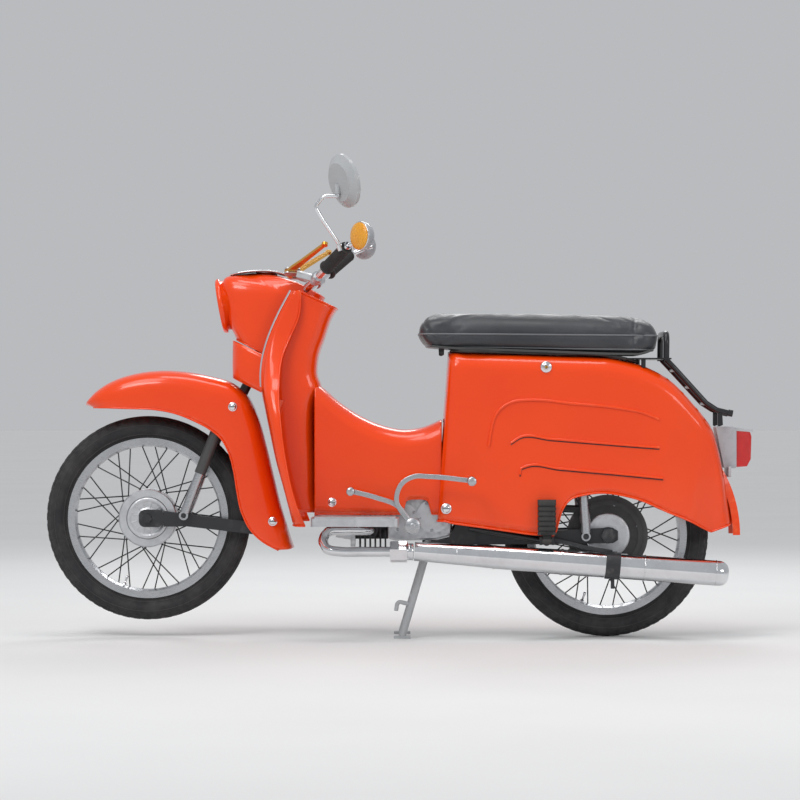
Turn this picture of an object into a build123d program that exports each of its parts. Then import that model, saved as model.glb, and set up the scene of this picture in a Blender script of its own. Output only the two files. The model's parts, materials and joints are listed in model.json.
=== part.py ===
"""A moped scooter: pressed-steel bodywork over a tubular spine, leading-arm front fork, trailing-arm
rear, horizontal single-cylinder engine, long bench seat.

Frame: +Z up, the front of the machine towards -X, its left side towards -Y, origin on the ground at the
middle of the bounding box. It stands on its centre stand and rear tyre with the front tyre just clear.
"""

import os
from math import atan2, cos, degrees, hypot, radians, sin

from build123d import *

os.makedirs("parts", exist_ok=True)

# ---------------------------------------------------------------- driving dimensions, mm and degrees
TYRE_R = 270.0
TYRE_HALF_WIDTH = 35.0
RIM_FLANGE_R = 212.0
RIM_INNER_R = 189.0
SPOKES = 36
FRONT_AXLE = (-664.0, 314.0)
REAR_AXLE = (549.0, TYRE_R)
AXLE_R = 8.0
RUNNING_GAP = 0.05
SHEET = 2.5

RAKE = 27.0
STEER_TOP = (-286.0, 0.0, 896.0)
STEER_DIR = (sin(radians(RAKE)), 0.0, cos(radians(RAKE)))

FRONT_PIVOT = (-366.0, 286.0)
FRONT_SHOCK_TOP = (-472.0, 567.0)
FRONT_SHOCK_LOW = (-567.0, 322.0)

REAR_PIVOT = (170.0, 262.0)
REAR_ARM_Y = 75.0
REAR_SHOCK_TOP = (469.0, 583.0)
REAR_SHOCK_LOW = (490.0, 268.0)
REAR_SHOCK_Y = 99.0

STAND_PIVOT = (77.0, 240.0)
STAND_FOOT = (8.0, 0.0)
LEVER_HUB = (35.0, 299.0)

BODY_HALF_WIDTH = 135.0
COLUMN_HALF_WIDTH = 100.0
TUNNEL_HALF_WIDTH = 105.0
FENDER_HALF_WIDTH = 90.0
HEAD_HALF_WIDTH = 80.0
SEAT_HALF_WIDTH = 130.0

SILENCER_Y = -142.0
SILENCER_START = (40.0, 231.0)
SILENCER_END = (859.0, 172.0)


# ---------------------------------------------------------------- helpers
def save(piece, label):
    """Labels a finished piece and writes it as its own STEP file."""
    piece.part.label = label
    export_step(piece.part, f"parts/{label}.step")


def across(x, y, z):
    """A sketch plane whose normal is +Y at a point: local x is +X, local y is -Z."""
    return Plane(origin=(x, y, z), x_dir=(1, 0, 0), z_dir=(0, 1, 0))


def side(y):
    """The side-view plane at a given Y: local x is +X, local y is +Z, extruding towards -Y."""
    return Plane.XZ.offset(-y)


def wheel_section(axle):
    """A plane through a wheel's axis: local x is the radius, local y is +Y."""
    return Plane(origin=(axle[0], 0, axle[1]), x_dir=(1, 0, 0), z_dir=(0, 0, 1))


def wheel_axis(axle):
    return Axis((axle[0], 0, axle[1]), (0, 1, 0))


def steer_point(distance, back=0.0, y=0.0):
    """A point from the steering axis: distance up it from its top mark, back behind it."""
    dx, dz = STEER_DIR[0], STEER_DIR[2]
    return (STEER_TOP[0] + distance * dx + back * dz, y, STEER_TOP[2] + distance * dz - back * dx)


def steer_plane(distance):
    """The plane square to the steering axis at a distance up it; local x points rearwards."""
    return Plane(origin=steer_point(distance), x_dir=(STEER_DIR[2], 0, -STEER_DIR[0]), z_dir=STEER_DIR)


def start_of(path):
    """The plane square to a path at its first point."""
    return Plane(origin=path @ 0, z_dir=path % 0)


def between(a, b):
    """The plane at a whose normal points to b."""
    return Plane(origin=a, z_dir=(Vector(*b) - Vector(*a)).normalized())


def span(a, b):
    return (Vector(*b) - Vector(*a)).length


# ---------------------------------------------------------------- wheels
def make_tyre(axle, label):
    crown_r, crown_half = 240.0, 30.0
    bead_r, bead_half, wall = 199.5, 18.5, 7.0
    with BuildPart() as tyre:
        with BuildSketch(wheel_section(axle)):
            with Locations((crown_r, 0)):
                Ellipse(crown_half, TYRE_HALF_WIDTH)
            with Locations(((bead_r + 222.0) / 2, 0)):
                Rectangle(222.0 - bead_r, 2 * bead_half)
            with Locations((crown_r, 0)):
                Ellipse(crown_half - wall, TYRE_HALF_WIDTH - wall, mode=Mode.SUBTRACT)
            with Locations(((bead_r + 222.0) / 2 - 1, 0)):
                Rectangle(224.0 - bead_r, 2 * (bead_half - wall), mode=Mode.SUBTRACT)
        revolve(axis=wheel_axis(axle))
    save(tyre, label)


def make_rim(axle, label):
    half = [(RIM_INNER_R, 11), (194, 23.5), (RIM_FLANGE_R, 24), (RIM_FLANGE_R, 21), (199, 19.3), (196, 9),
            (192, 7)]
    outline = half + [(r, -y) for r, y in reversed(half)]
    with BuildPart() as rim:
        with BuildSketch(wheel_section(axle)):
            with BuildLine():
                Polyline(*outline, close=True)
            make_face()
        revolve(axis=wheel_axis(axle))
    save(rim, label)


def make_spokes(axle, flange_r, flange_y, label):
    """Spokes in crossed pairs: each leaves its flange nearly tangentially and meets the rim's middle."""
    swing = 360.0 / SPOKES * 3.2
    rim_y = 6.0
    with BuildPart() as spokes:
        for i in range(SPOKES):
            lean = swing if i // 2 % 2 else -swing
            hub_side = -1 if i % 2 else 1
            at_rim = radians(360.0 / SPOKES * (i + 0.5))
            at_hub = at_rim + radians(lean)
            a = (axle[0] + flange_r * cos(at_hub), hub_side * flange_y, axle[1] + flange_r * sin(at_hub))
            b_r = RIM_INNER_R + 0.6
            b = (axle[0] + b_r * cos(at_rim), hub_side * rim_y, axle[1] + b_r * sin(at_rim))
            with BuildSketch(between(a, b)):
                Circle(1.7)
            extrude(amount=span(a, b))
    save(spokes, label)


def make_front_hub():
    """Full-width drum hub: two spoke flanges, open on the left for the brake plate."""
    flange_r, waist_r, half = 77.0, 60.0, 38.0
    with BuildPart() as hub:
        with BuildSketch(wheel_section(FRONT_AXLE)):
            with BuildLine():
                Polyline(
                    (AXLE_R + RUNNING_GAP, 12), (AXLE_R + RUNNING_GAP, half), (30, half + 3),
                    (flange_r - 3, half),
                    (flange_r, half - 3), (flange_r, half - 9), (waist_r, half - 14), (waist_r, 14 - half),
                    (flange_r, 9 - half), (flange_r, 3 - half), (flange_r - 3, -half), (56, -half),
                    (56, 20),
                    (20, 22), (20, 12), close=True,
                )
            make_face()
        revolve(axis=wheel_axis(FRONT_AXLE))
    save(hub, "front_hub")


def make_rear_hub():
    """Rear drum hub, with its toothed sprocket as a second solid on the left."""
    flange_r, waist_r, half = 70.0, 54.0, 34.0
    sprocket_teeth, sprocket_r = 34, 68.0
    with BuildPart() as hub:
        with BuildSketch(wheel_section(REAR_AXLE)):
            with BuildLine():
                Polyline(
                    (AXLE_R + RUNNING_GAP, -half), (AXLE_R + RUNNING_GAP, -10), (20, -10), (20, -20),
                    (50, -20),
                    (50, half), (flange_r - 3, half), (flange_r, half - 3), (flange_r, half - 9),
                    (waist_r, half - 14), (waist_r, 14 - half), (flange_r, 9 - half), (flange_r, 3 - half),
                    (flange_r - 3, -half), close=True,
                )
            make_face()
        revolve(axis=wheel_axis(REAR_AXLE))
        with BuildSketch(across(REAR_AXLE[0], -52, REAR_AXLE[1])):
            Circle(sprocket_r)
            with PolarLocations(sprocket_r + 0.5, sprocket_teeth):
                Circle(2.6, mode=Mode.SUBTRACT)
            Circle(26, mode=Mode.SUBTRACT)
        extrude(amount=5)
        with BuildSketch(across(REAR_AXLE[0], -52, REAR_AXLE[1])):
            Circle(34)
            Circle(20, mode=Mode.SUBTRACT)
        extrude(amount=18)
    save(hub, "rear_hub")


# ---------------------------------------------------------------- frame and running gear
def make_main_frame():
    """Head tube, tubular spine, twin rear rails, drop plates with the arm and stand shafts, rear stays."""
    with BuildPart() as frame:
        with BuildLine() as spine:
            FilletPolyline(steer_point(-195), (-282, 0, 656), (-252, 0, 560), (-244, 0, 462),
                           (-120, 0, 440),
                           (120, 0, 462), radius=38)
        with BuildSketch(start_of(spine.line)):
            Circle(20)
        sweep(path=spine.line)
        with BuildSketch(steer_plane(-218)):
            Circle(24)
        extrude(amount=158)
        with BuildSketch(steer_plane(-230)):
            Circle(13.0 + RUNNING_GAP)
        extrude(amount=200, mode=Mode.SUBTRACT)
        for s in (-1, 1):
            with BuildLine() as rail:
                FilletPolyline((60, s * 20, 455), (150, s * 110, 470), (300, s * 112, 590),
                               (469, s * 112, 624),
                               (646, s * 108, 690), radius=40)
            with BuildSketch(start_of(rail.line)):
                Circle(11)
            sweep(path=rail.line)
            with BuildSketch(side(s * 94.5)):
                with BuildLine():
                    Polyline((148, 490), (202, 500), (202, 250), (160, 240), (120, 229), (62, 229),
                             (62, 252),
                             (128, 262), (150, 300), close=True)
                make_face()
            extrude(amount=2.5, both=True)
            with BuildLine() as stay:
                FilletPolyline((185, s * 100, 290), (240, s * 108, 282), (385, s * 112, 256), radius=30)
            with BuildSketch(start_of(stay.line)):
                Circle(8)
            sweep(path=stay.line)
            with BuildSketch(across(385, s * 128 - 10, 256)):
                Circle(11)
            extrude(amount=20)
            with BuildSketch(side(s * 110)):
                with BuildLine():
                    Polyline((456, 628), (484, 632), (480, 572), (458, 572), close=True)
                make_face()
            extrude(amount=2.5, both=True)
            with BuildSketch(across(469, s * 99 - 12, 583)):
                Circle(7)
            extrude(amount=24)
        with BuildSketch(across(REAR_PIVOT[0], -97, REAR_PIVOT[1])):
            Circle(AXLE_R)
        extrude(amount=194)
        with BuildSketch(across(STAND_PIVOT[0], -97, STAND_PIVOT[1])):
            Circle(AXLE_R)
        extrude(amount=194)
        add(make_peg_brackets())
    save(frame, "main_frame")


def make_fork():
    """Stem with its bar clamp, crown, two legs with pivot bosses, and the brackets for the shocks."""
    leg_y = 33.0
    with BuildPart() as fork:
        with BuildSketch(steer_plane(-300)):
            Circle(13)
        extrude(amount=306)
        with BuildSketch(steer_plane(4)):
            with Locations((7, 0)):
                RectangleRounded(30, 34, 6)
        extrude(amount=31)
        with BuildSketch(steer_plane(-314)):
            with Locations((-4, 0)):
                RectangleRounded(36, 92, 9)
        extrude(amount=24)
        for s in (-1, 1):
            with BuildLine() as leg:
                FilletPolyline(steer_point(-288, y=s * leg_y), (-388, s * leg_y, 500),
                               (-376, s * leg_y, 400),
                               (-366, s * leg_y, 286), radius=120)
            with BuildSketch(start_of(leg.line)):
                Circle(11)
            sweep(path=leg.line)
            with BuildSketch(across(FRONT_PIVOT[0], s * leg_y - 12, FRONT_PIVOT[1])):
                Circle(18)
            extrude(amount=24)
            with BuildSketch(side(s * 44)):
                with BuildLine():
                    Polyline((-446, 624), (-414, 612), (-404, 598), (-440, 584), (-462, 556), (-480, 560),
                             (-482, 576), close=True)
                make_face()
            extrude(amount=4, both=True)
            with BuildSketch(across(FRONT_SHOCK_TOP[0], s * 63 - 16, FRONT_SHOCK_TOP[1])):
                Circle(6)
            extrude(amount=32)
        with BuildSketch(across(FRONT_PIVOT[0], -60, FRONT_PIVOT[1])):
            Circle(AXLE_R + RUNNING_GAP)
        extrude(amount=120, mode=Mode.SUBTRACT)
        add(bar_rod(11.0), mode=Mode.SUBTRACT)
    save(fork, "fork")


BAR_INNER = (-256.0, 52.0, 908.0)
BAR_TIP = (-130.0, 245.0, 1026.0)


def bar_point(t, s):
    """A point on one side of the handlebar: t is 0 at the bend, 1 at its tip; s is -1 left, 1 right."""
    return tuple(p + t * (q - p) for p, q in zip((BAR_INNER[0], s * BAR_INNER[1], BAR_INNER[2]),
                                                 (BAR_TIP[0], s * BAR_TIP[1], BAR_TIP[2])))


def bar_direction(s):
    return (Vector(*bar_point(1, s)) - Vector(*bar_point(0, s))).normalized()


BAR_LENGTH = span(BAR_INNER, BAR_TIP)


def bar_rod(radius):
    """A solid rod along the handlebar's path, for cutting its way through other parts."""
    with BuildPart() as rod:
        with BuildLine() as bar:
            FilletPolyline(bar_point(1, -1), bar_point(0, -1), bar_point(0, 1), bar_point(1, 1), radius=40)
        with BuildSketch(start_of(bar.line)):
            Circle(radius)
        sweep(path=bar.line)
    return rod.part


def make_handlebar():
    with BuildPart() as handlebar:
        with BuildLine() as bar:
            FilletPolyline(bar_point(1, -1), bar_point(0, -1), bar_point(0, 1), bar_point(1, 1), radius=40)
        with BuildSketch(start_of(bar.line)):
            Circle(11)
            Circle(8.5, mode=Mode.SUBTRACT)
        sweep(path=bar.line)
    save(handlebar, "handlebar")


def make_grip(s, gap, label):
    """A ribbed rubber sleeve over one end of the bar."""
    length, rings = 112.0, 9
    with BuildPart() as grip:
        start = Vector(*bar_point(1, s)) - bar_direction(s) * (length + 12)
        with BuildSketch(Plane(origin=start, z_dir=bar_direction(s))):
            Circle(16)
        extrude(amount=length)
        with BuildSketch(Plane(origin=start, z_dir=bar_direction(s))):
            Circle(20)
        extrude(amount=5)
        for i in range(rings):
            groove = start + bar_direction(s) * (16 + i * (length - 24) / (rings - 1))
            with BuildSketch(Plane(origin=groove, z_dir=bar_direction(s))):
                Circle(17)
                Circle(14.8, mode=Mode.SUBTRACT)
            extrude(amount=3, mode=Mode.SUBTRACT)
        with BuildSketch(Plane(origin=start, z_dir=bar_direction(s))):
            Circle(11 + gap)
        extrude(amount=length, mode=Mode.SUBTRACT)
    save(grip, label)


LEVER_PIVOT = (-290.0, 100.0, 962.0)
LEVER_TIP = (-192.0, 232.0, 1028.0)


def lever_axis(s):
    """The lever's hinge line: square to the lever and to the direction it closes in."""
    along = Vector(LEVER_TIP[0] - LEVER_PIVOT[0], s * (LEVER_TIP[1] - LEVER_PIVOT[1]),
                   LEVER_TIP[2] - LEVER_PIVOT[2])
    return along.normalized().cross(Vector(1, 0, -0.07)).normalized()


def make_levers():
    for s, label in ((-1, "clutch_lever"), (1, "brake_lever")):
        pivot = Vector(LEVER_PIVOT[0], s * LEVER_PIVOT[1], LEVER_PIVOT[2])
        tip = Vector(LEVER_TIP[0], s * LEVER_TIP[1], LEVER_TIP[2])
        along = (tip - pivot).normalized()
        length = (tip - pivot).length
        with BuildPart() as lever:
            with BuildSketch(Plane(origin=pivot - lever_axis(s) * 4, x_dir=along, z_dir=lever_axis(s))):
                with BuildLine():
                    Polyline((-7, -8), (30, -8), (70, -6), (length, -4.5), (length, 4.5), (70, 7), (30, 9),
                             (-7, 8),
                             close=True)
                make_face()
                with Locations((length, 0)):
                    Circle(8)
                with Locations((-4, 0)):
                    Circle(9)
                Circle(4 + RUNNING_GAP, mode=Mode.SUBTRACT)
            extrude(amount=8)
        save(lever, label)


def make_lever_clamps():
    """A collar on each side of the bar, its arm reaching forward to a forked lever pivot."""
    with BuildPart() as clamps:
        for s in (-1, 1):
            pivot = Vector(LEVER_PIVOT[0], s * LEVER_PIVOT[1], LEVER_PIVOT[2])
            seat = Vector(*bar_point(0.26, s))
            with BuildSketch(Plane(origin=seat, z_dir=bar_direction(s))):
                Circle(15.5)
            extrude(amount=24)
            start = seat + bar_direction(s) * 10
            with BuildSketch(Plane(origin=start, z_dir=(pivot - start).normalized())):
                RectangleRounded(20, 20, 5)
            extrude(amount=(pivot - start).length - 24)
            for k in (-1, 1):
                low = pivot + lever_axis(s) * (6.5 * k - 2)
                with BuildSketch(Plane(origin=low, x_dir=(start - pivot).normalized(),
                                       z_dir=lever_axis(s))):
                    Circle(11)
                    with Locations((15, 0)):
                        Rectangle(30, 20)
                extrude(amount=4)
            with BuildSketch(Plane(origin=pivot - lever_axis(s) * 7, z_dir=lever_axis(s))):
                Circle(4)
            extrude(amount=14)
            with BuildSketch(Plane(origin=seat - bar_direction(s) * 20, z_dir=bar_direction(s))):
                Circle(11)
            extrude(amount=70, mode=Mode.SUBTRACT)
    save(clamps, "lever_clamps")


INDICATOR = (-92.0, 282.0, 1047.0)


def indicator_direction(s):
    return Vector(-0.78, 0.62 * s, 0).normalized()


def make_indicators():
    with BuildPart() as housings:
        for s in (-1, 1):
            centre = Vector(INDICATOR[0], s * INDICATOR[1], INDICATOR[2])
            with BuildSketch(Plane(origin=centre - indicator_direction(s) * 22,
                                   z_dir=indicator_direction(s))):
                Circle(37)
            extrude(amount=34)
            near = centre - indicator_direction(s) * 8
            tip = Vector(*bar_point(1, s))
            with BuildSketch(Plane(origin=tip, z_dir=(near - tip).normalized())):
                Circle(8)
            extrude(amount=20)
            with BuildSketch(Plane(origin=tip - bar_direction(s) * 10, z_dir=bar_direction(s))):
                Circle(15)
            extrude(amount=14)
            with BuildSketch(Plane(origin=tip - bar_direction(s) * 14, z_dir=bar_direction(s))):
                Circle(11)
            extrude(amount=14, mode=Mode.SUBTRACT)
    save(housings, "indicator_housings")
    with BuildPart() as lenses:
        for s in (-1, 1):
            centre = Vector(INDICATOR[0], s * INDICATOR[1], INDICATOR[2])
            with BuildSketch(Plane(origin=centre + indicator_direction(s) * 12,
                                   z_dir=indicator_direction(s))):
                Circle(36)
            extrude(amount=13, taper=24)
    save(lenses, "indicator_lenses")


MIRROR_SWIVEL = (-158.0, -258.0, 1172.0)
MIRROR_CENTRE = (-142.0, -258.0, 1190.0)
MIRROR_BACK = (-0.83, -0.5, -0.24)


def make_mirror():
    """Arm with an upright pin at its end; the round shell swivels on the pin."""
    pin_x, pin_y, swivel_z = MIRROR_SWIVEL
    with BuildPart() as arm:
        with BuildLine() as rod:
            FilletPolyline((-150, -238, 1022), (-196, -250, 1089), (-216, -256, 1124), (-194, -258, 1151),
                           (pin_x, pin_y, 1151), radius=12)
        with BuildSketch(start_of(rod.line)):
            Circle(5)
        sweep(path=rod.line)
        with BuildSketch(Plane.XY.offset(1148)):
            with Locations((pin_x, pin_y)):
                Circle(5)
        extrude(amount=8)
        with BuildSketch(Plane.XY.offset(1150)):
            with Locations((pin_x, pin_y)):
                Circle(4)
        extrude(amount=26)
        with BuildSketch(Plane(origin=(-150, -238, 1012), z_dir=(-0.3, -0.1, 0.9))):
            Circle(8)
        extrude(amount=16)
        add(bar_rod(16.1), mode=Mode.SUBTRACT)
    save(arm, "mirror_arm")
    back = Vector(*MIRROR_BACK).normalized()
    centre = Vector(*MIRROR_CENTRE)
    with BuildPart() as shell:
        with BuildSketch(Plane(origin=centre - back * 6, z_dir=back)):
            Circle(70)
        extrude(amount=8)
        with BuildSketch(Plane(origin=centre + back * 2, z_dir=back)):
            Circle(70)
        extrude(amount=14, taper=55)
        with BuildSketch(Plane(origin=centre - back * 8, z_dir=back)):
            Circle(66)
        extrude(amount=7, mode=Mode.SUBTRACT)
        with BuildSketch(Plane.XY.offset(swivel_z - 15)):
            with Locations((pin_x, pin_y)):
                Circle(7.5)
        extrude(amount=24)
        with BuildSketch(between(MIRROR_SWIVEL, centre + back * 8)):
            Circle(5)
        extrude(amount=span(MIRROR_SWIVEL, centre + back * 8))
        with BuildSketch(Plane.XY.offset(1140)):
            with Locations((pin_x, pin_y)):
                Circle(4 + RUNNING_GAP)
        extrude(amount=36.5, mode=Mode.SUBTRACT)
    save(shell, "mirror_shell")
    with BuildPart() as glass:
        with BuildSketch(Plane(origin=centre - back * 4.5, z_dir=back)):
            Circle(65.8)
        extrude(amount=3)
    save(glass, "mirror_glass")


# ---------------------------------------------------------------- suspension
def make_front_swingarm():
    """Leading arms with their pivot shaft and axle; the brake plate and the axle nuts are separate solids."""
    axle_x, axle_z = FRONT_AXLE
    with BuildPart() as arm:
        for s in (-1, 1):
            with BuildSketch(side(s * 52)):
                with BuildLine():
                    Polyline((-366, 270), (-366, 302), (-560, 325), (-620, 334), (-620, 292), (-560, 293),
                             close=True)
                make_face()
                with Locations(FRONT_PIVOT):
                    Circle(16)
                with Locations((-653, 314)):
                    RectangleRounded(66, 46, 16)
            extrude(amount=6, both=True)
            with BuildSketch(across(FRONT_SHOCK_LOW[0], s * 66 - 14, FRONT_SHOCK_LOW[1])):
                Circle(6)
            extrude(amount=28)
        with BuildSketch(across(FRONT_PIVOT[0], -54, FRONT_PIVOT[1])):
            Circle(AXLE_R)
        extrude(amount=108)
        with BuildSketch(across(axle_x, -66, axle_z)):
            Circle(AXLE_R)
        extrude(amount=132)
        for s in (-1, 1):
            with BuildSketch(across(axle_x, s * 63 - 5, axle_z)):
                RegularPolygon(13, 6)
            extrude(amount=10)
        with BuildSketch(across(axle_x, -38, axle_z)):
            Circle(55.4)
        extrude(amount=5)
        with BuildSketch(across(axle_x, -46, axle_z)):
            Circle(20)
        extrude(amount=12)
    save(arm, "front_swingarm")


def make_shock(top, low, y, cover_r, rod_r, cover_share, eye_half, labels):
    """A telescopic spring leg: the top half with its eye and cover, the bottom half with its eye and tube."""
    length = hypot(top[0] - low[0], top[1] - low[1])
    upper_label, lower_label = labels
    with BuildPart() as upper:
        for s in (-1, 1):
            a = (top[0], s * y, top[1])
            b = (low[0], s * y, low[1])
            toward = (Vector(*b) - Vector(*a)).normalized()
            with BuildSketch(Plane(origin=Vector(*a) + toward * 13, z_dir=toward)):
                Circle(cover_r)
            extrude(amount=length * cover_share)
            with BuildSketch(across(top[0], s * y - eye_half, top[1])):
                Circle(11)
            extrude(amount=2 * eye_half)
            with BuildSketch(Plane(origin=a, z_dir=toward)):
                Circle(8)
            extrude(amount=20)
            with BuildSketch(Plane(origin=Vector(*a) + toward * 20, z_dir=toward)):
                Circle(cover_r - 2)
            extrude(amount=length, mode=Mode.SUBTRACT)
            with BuildSketch(across(top[0], s * y - 20, top[1])):
                Circle((6 if y < 80 else 7) + RUNNING_GAP)
            extrude(amount=40, mode=Mode.SUBTRACT)
    save(upper, upper_label)
    with BuildPart() as lower:
        for s in (-1, 1):
            a = (top[0], s * y, top[1])
            b = (low[0], s * y, low[1])
            toward = (Vector(*a) - Vector(*b)).normalized()
            with BuildSketch(Plane(origin=Vector(*b) + toward * 8.5, z_dir=toward)):
                Circle(rod_r)
            extrude(amount=length * 0.62)
            with BuildSketch(across(low[0], s * y - eye_half, low[1])):
                Circle(12)
            extrude(amount=2 * eye_half)
            with BuildSketch(across(low[0], s * y - 20, low[1])):
                Circle((6 if y < 80 else 7) + 0.9)
            extrude(amount=40, mode=Mode.SUBTRACT)
    save(lower, lower_label)


def make_rear_swingarm():
    axle_x, axle_z = REAR_AXLE
    with BuildPart() as arm:
        with BuildSketch(across(REAR_PIVOT[0], -86, REAR_PIVOT[1])):
            Circle(17)
        extrude(amount=172)
        for s in (-1, 1):
            with BuildSketch(side(s * REAR_ARM_Y)):
                with BuildLine():
                    Polyline((170, 246), (170, 279), (380, 282), (540, 290), (562, 290), (575, 282),
                             (575, 258),
                             (562, 250), (380, 247), close=True)
                make_face()
            extrude(amount=9, both=True)
            with BuildSketch(across(REAR_SHOCK_LOW[0], s * 94 - 13, REAR_SHOCK_LOW[1])):
                Circle(7)
            extrude(amount=26)
            with BuildSketch(across(axle_x, s * 94 - 10, axle_z)):
                RegularPolygon(20, 6)
            extrude(amount=20)
        with BuildSketch(across(REAR_PIVOT[0], -90, REAR_PIVOT[1])):
            Circle(AXLE_R + RUNNING_GAP)
        extrude(amount=180, mode=Mode.SUBTRACT)
        with BuildSketch(across(axle_x, -86, axle_z)):
            Circle(AXLE_R)
        extrude(amount=172)
        with BuildSketch(across(axle_x, 35.5, axle_z)):
            Circle(16)
        extrude(amount=32)
    save(arm, "rear_swingarm")


def make_chain_case():
    axle_x, axle_z = REAR_AXLE
    with BuildPart() as case:
        with BuildSketch(across(axle_x, -63, axle_z)):
            Circle(106)
        extrude(amount=23)
        with BuildSketch(across(axle_x, -60.5, axle_z)):
            Circle(102)
        extrude(amount=18, mode=Mode.SUBTRACT)
        with BuildSketch(across(axle_x, -45, axle_z)):
            Circle(56)
        extrude(amount=12, mode=Mode.SUBTRACT)
        with BuildSketch(across(axle_x, -65.5, axle_z)):
            Circle(92)
            Circle(80, mode=Mode.SUBTRACT)
        extrude(amount=3)
        with BuildSketch(across(axle_x, -65.9, axle_z)):
            Circle(22)
        extrude(amount=5.5)
        with BuildSketch(across(axle_x, -70, axle_z)):
            Circle(AXLE_R)
        extrude(amount=20, mode=Mode.SUBTRACT)
        for a, b in (((160, -51.5, 352), (478, -51.5, 338)), ((205, -51.5, 238), (468, -51.5, 210))):
            with BuildSketch(between(a, b)):
                RectangleRounded(20, 20, 5)
            extrude(amount=span(a, b))
            with BuildSketch(between(a, b)):
                RectangleRounded(15, 15, 4)
            extrude(amount=span(a, b) + 12, mode=Mode.SUBTRACT)
    save(case, "chain_case")


# ---------------------------------------------------------------- sheet-metal helpers
def inset(points, distance):
    """Moves an open run of points sideways by a distance, to the right of its direction of travel."""
    moved = []
    for i in range(len(points)):
        a = points[max(i - 1, 0)]
        b = points[min(i + 1, len(points) - 1)]
        dx, dz = b[0] - a[0], b[1] - a[1]
        length = hypot(dx, dz)
        moved.append((points[i][0] + distance * dz / length, points[i][1] - distance * dx / length))
    return moved


def pressing(curve, closing, half_width, plan, round_r):
    """A solid from a side outline (a smooth run, then straight closing points), its smooth run's edges
    rounded and its plan trimmed to a half outline of (x, half width) points."""
    with BuildPart() as solid:
        with BuildSketch(side(0)):
            with BuildLine():
                run = Spline(*curve)
                Polyline(run @ 1, *closing, run @ 0)
            make_face()
        extrude(amount=half_width, both=True)
        if round_r:
            rims = solid.edges().filter_by(lambda e: abs(abs(e.center().Y) - half_width) < 0.01)
            rims = rims.filter_by(GeomType.BSPLINE)
            fillet(rims, round_r)
        if plan:
            with BuildSketch(Plane.XY):
                with BuildLine():
                    Polyline(*plan, *[(x, -y) for x, y in reversed(plan)], close=True)
                make_face()
            extrude(amount=1500, mode=Mode.INTERSECT)
    return solid.part


def narrowed(plan, wall):
    """A plan's half outline drawn in by the wall thickness."""
    return [(x, y - wall) for x, y in plan]


def disc(x, z, y, radius, thick):
    """A round head standing off a side face at y, outwards by its thickness."""
    outward = thick if y > 0 else -thick
    with BuildPart() as head:
        with BuildSketch(across(x, min(y, y + outward), z)):
            Circle(radius)
        extrude(amount=thick)
    return head.part


# ---------------------------------------------------------------- bodywork
FENDER_TOP = [(-828, 621), (-779, 665), (-705, 694), (-626, 704), (-558, 700), (-499, 689), (-440, 671),
              (-398, 634), (-373, 580), (-350, 500), (-332, 425), (-311, 340), (-278, 236)]
FENDER_ARCH = [(-300, 228), (-323, 234), (-362, 254), (-391, 283), (-411, 322), (-424, 371), (-431, 430),
               (-445, 489), (-470, 528), (-509, 557), (-558, 579), (-626, 599), (-715, 604), (-803, 607)]
FENDER_PLAN = [(-840, 40), (-815, 62), (-770, 76), (-700, 86), (-630, 90), (-260, 90)]


def make_front_fender():
    outer = pressing(FENDER_TOP, FENDER_ARCH, FENDER_HALF_WIDTH, FENDER_PLAN, 30)
    low = [(-300, 180), (-830, 180)]
    inner = pressing(inset(FENDER_TOP, SHEET), low, FENDER_HALF_WIDTH - SHEET,
                     narrowed(FENDER_PLAN, SHEET), 28)
    with BuildPart() as fender:
        add(outer)
        add(inner, mode=Mode.SUBTRACT)
        with BuildSketch(steer_plane(-300)):
            Circle(17)
        extrude(amount=60, mode=Mode.SUBTRACT)
        for s in (-1, 1):
            for x, z in ((-437, 608), (-332, 307)):
                add(disc(x, z, s * FENDER_HALF_WIDTH, 12, 3.5))
    save(fender, "front_fender")


HEAD_SIDE = [(-430, 788), (-446, 818), (-460, 874), (-470, 925), (-462, 950), (-425, 958), (-382, 962),
             (-330, 959), (-290, 946)]
LAMP_CENTRE = (-463.0, 0.0, 876.0)
LAMP_DIR = (-0.985, 0.0, -0.174)


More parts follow.
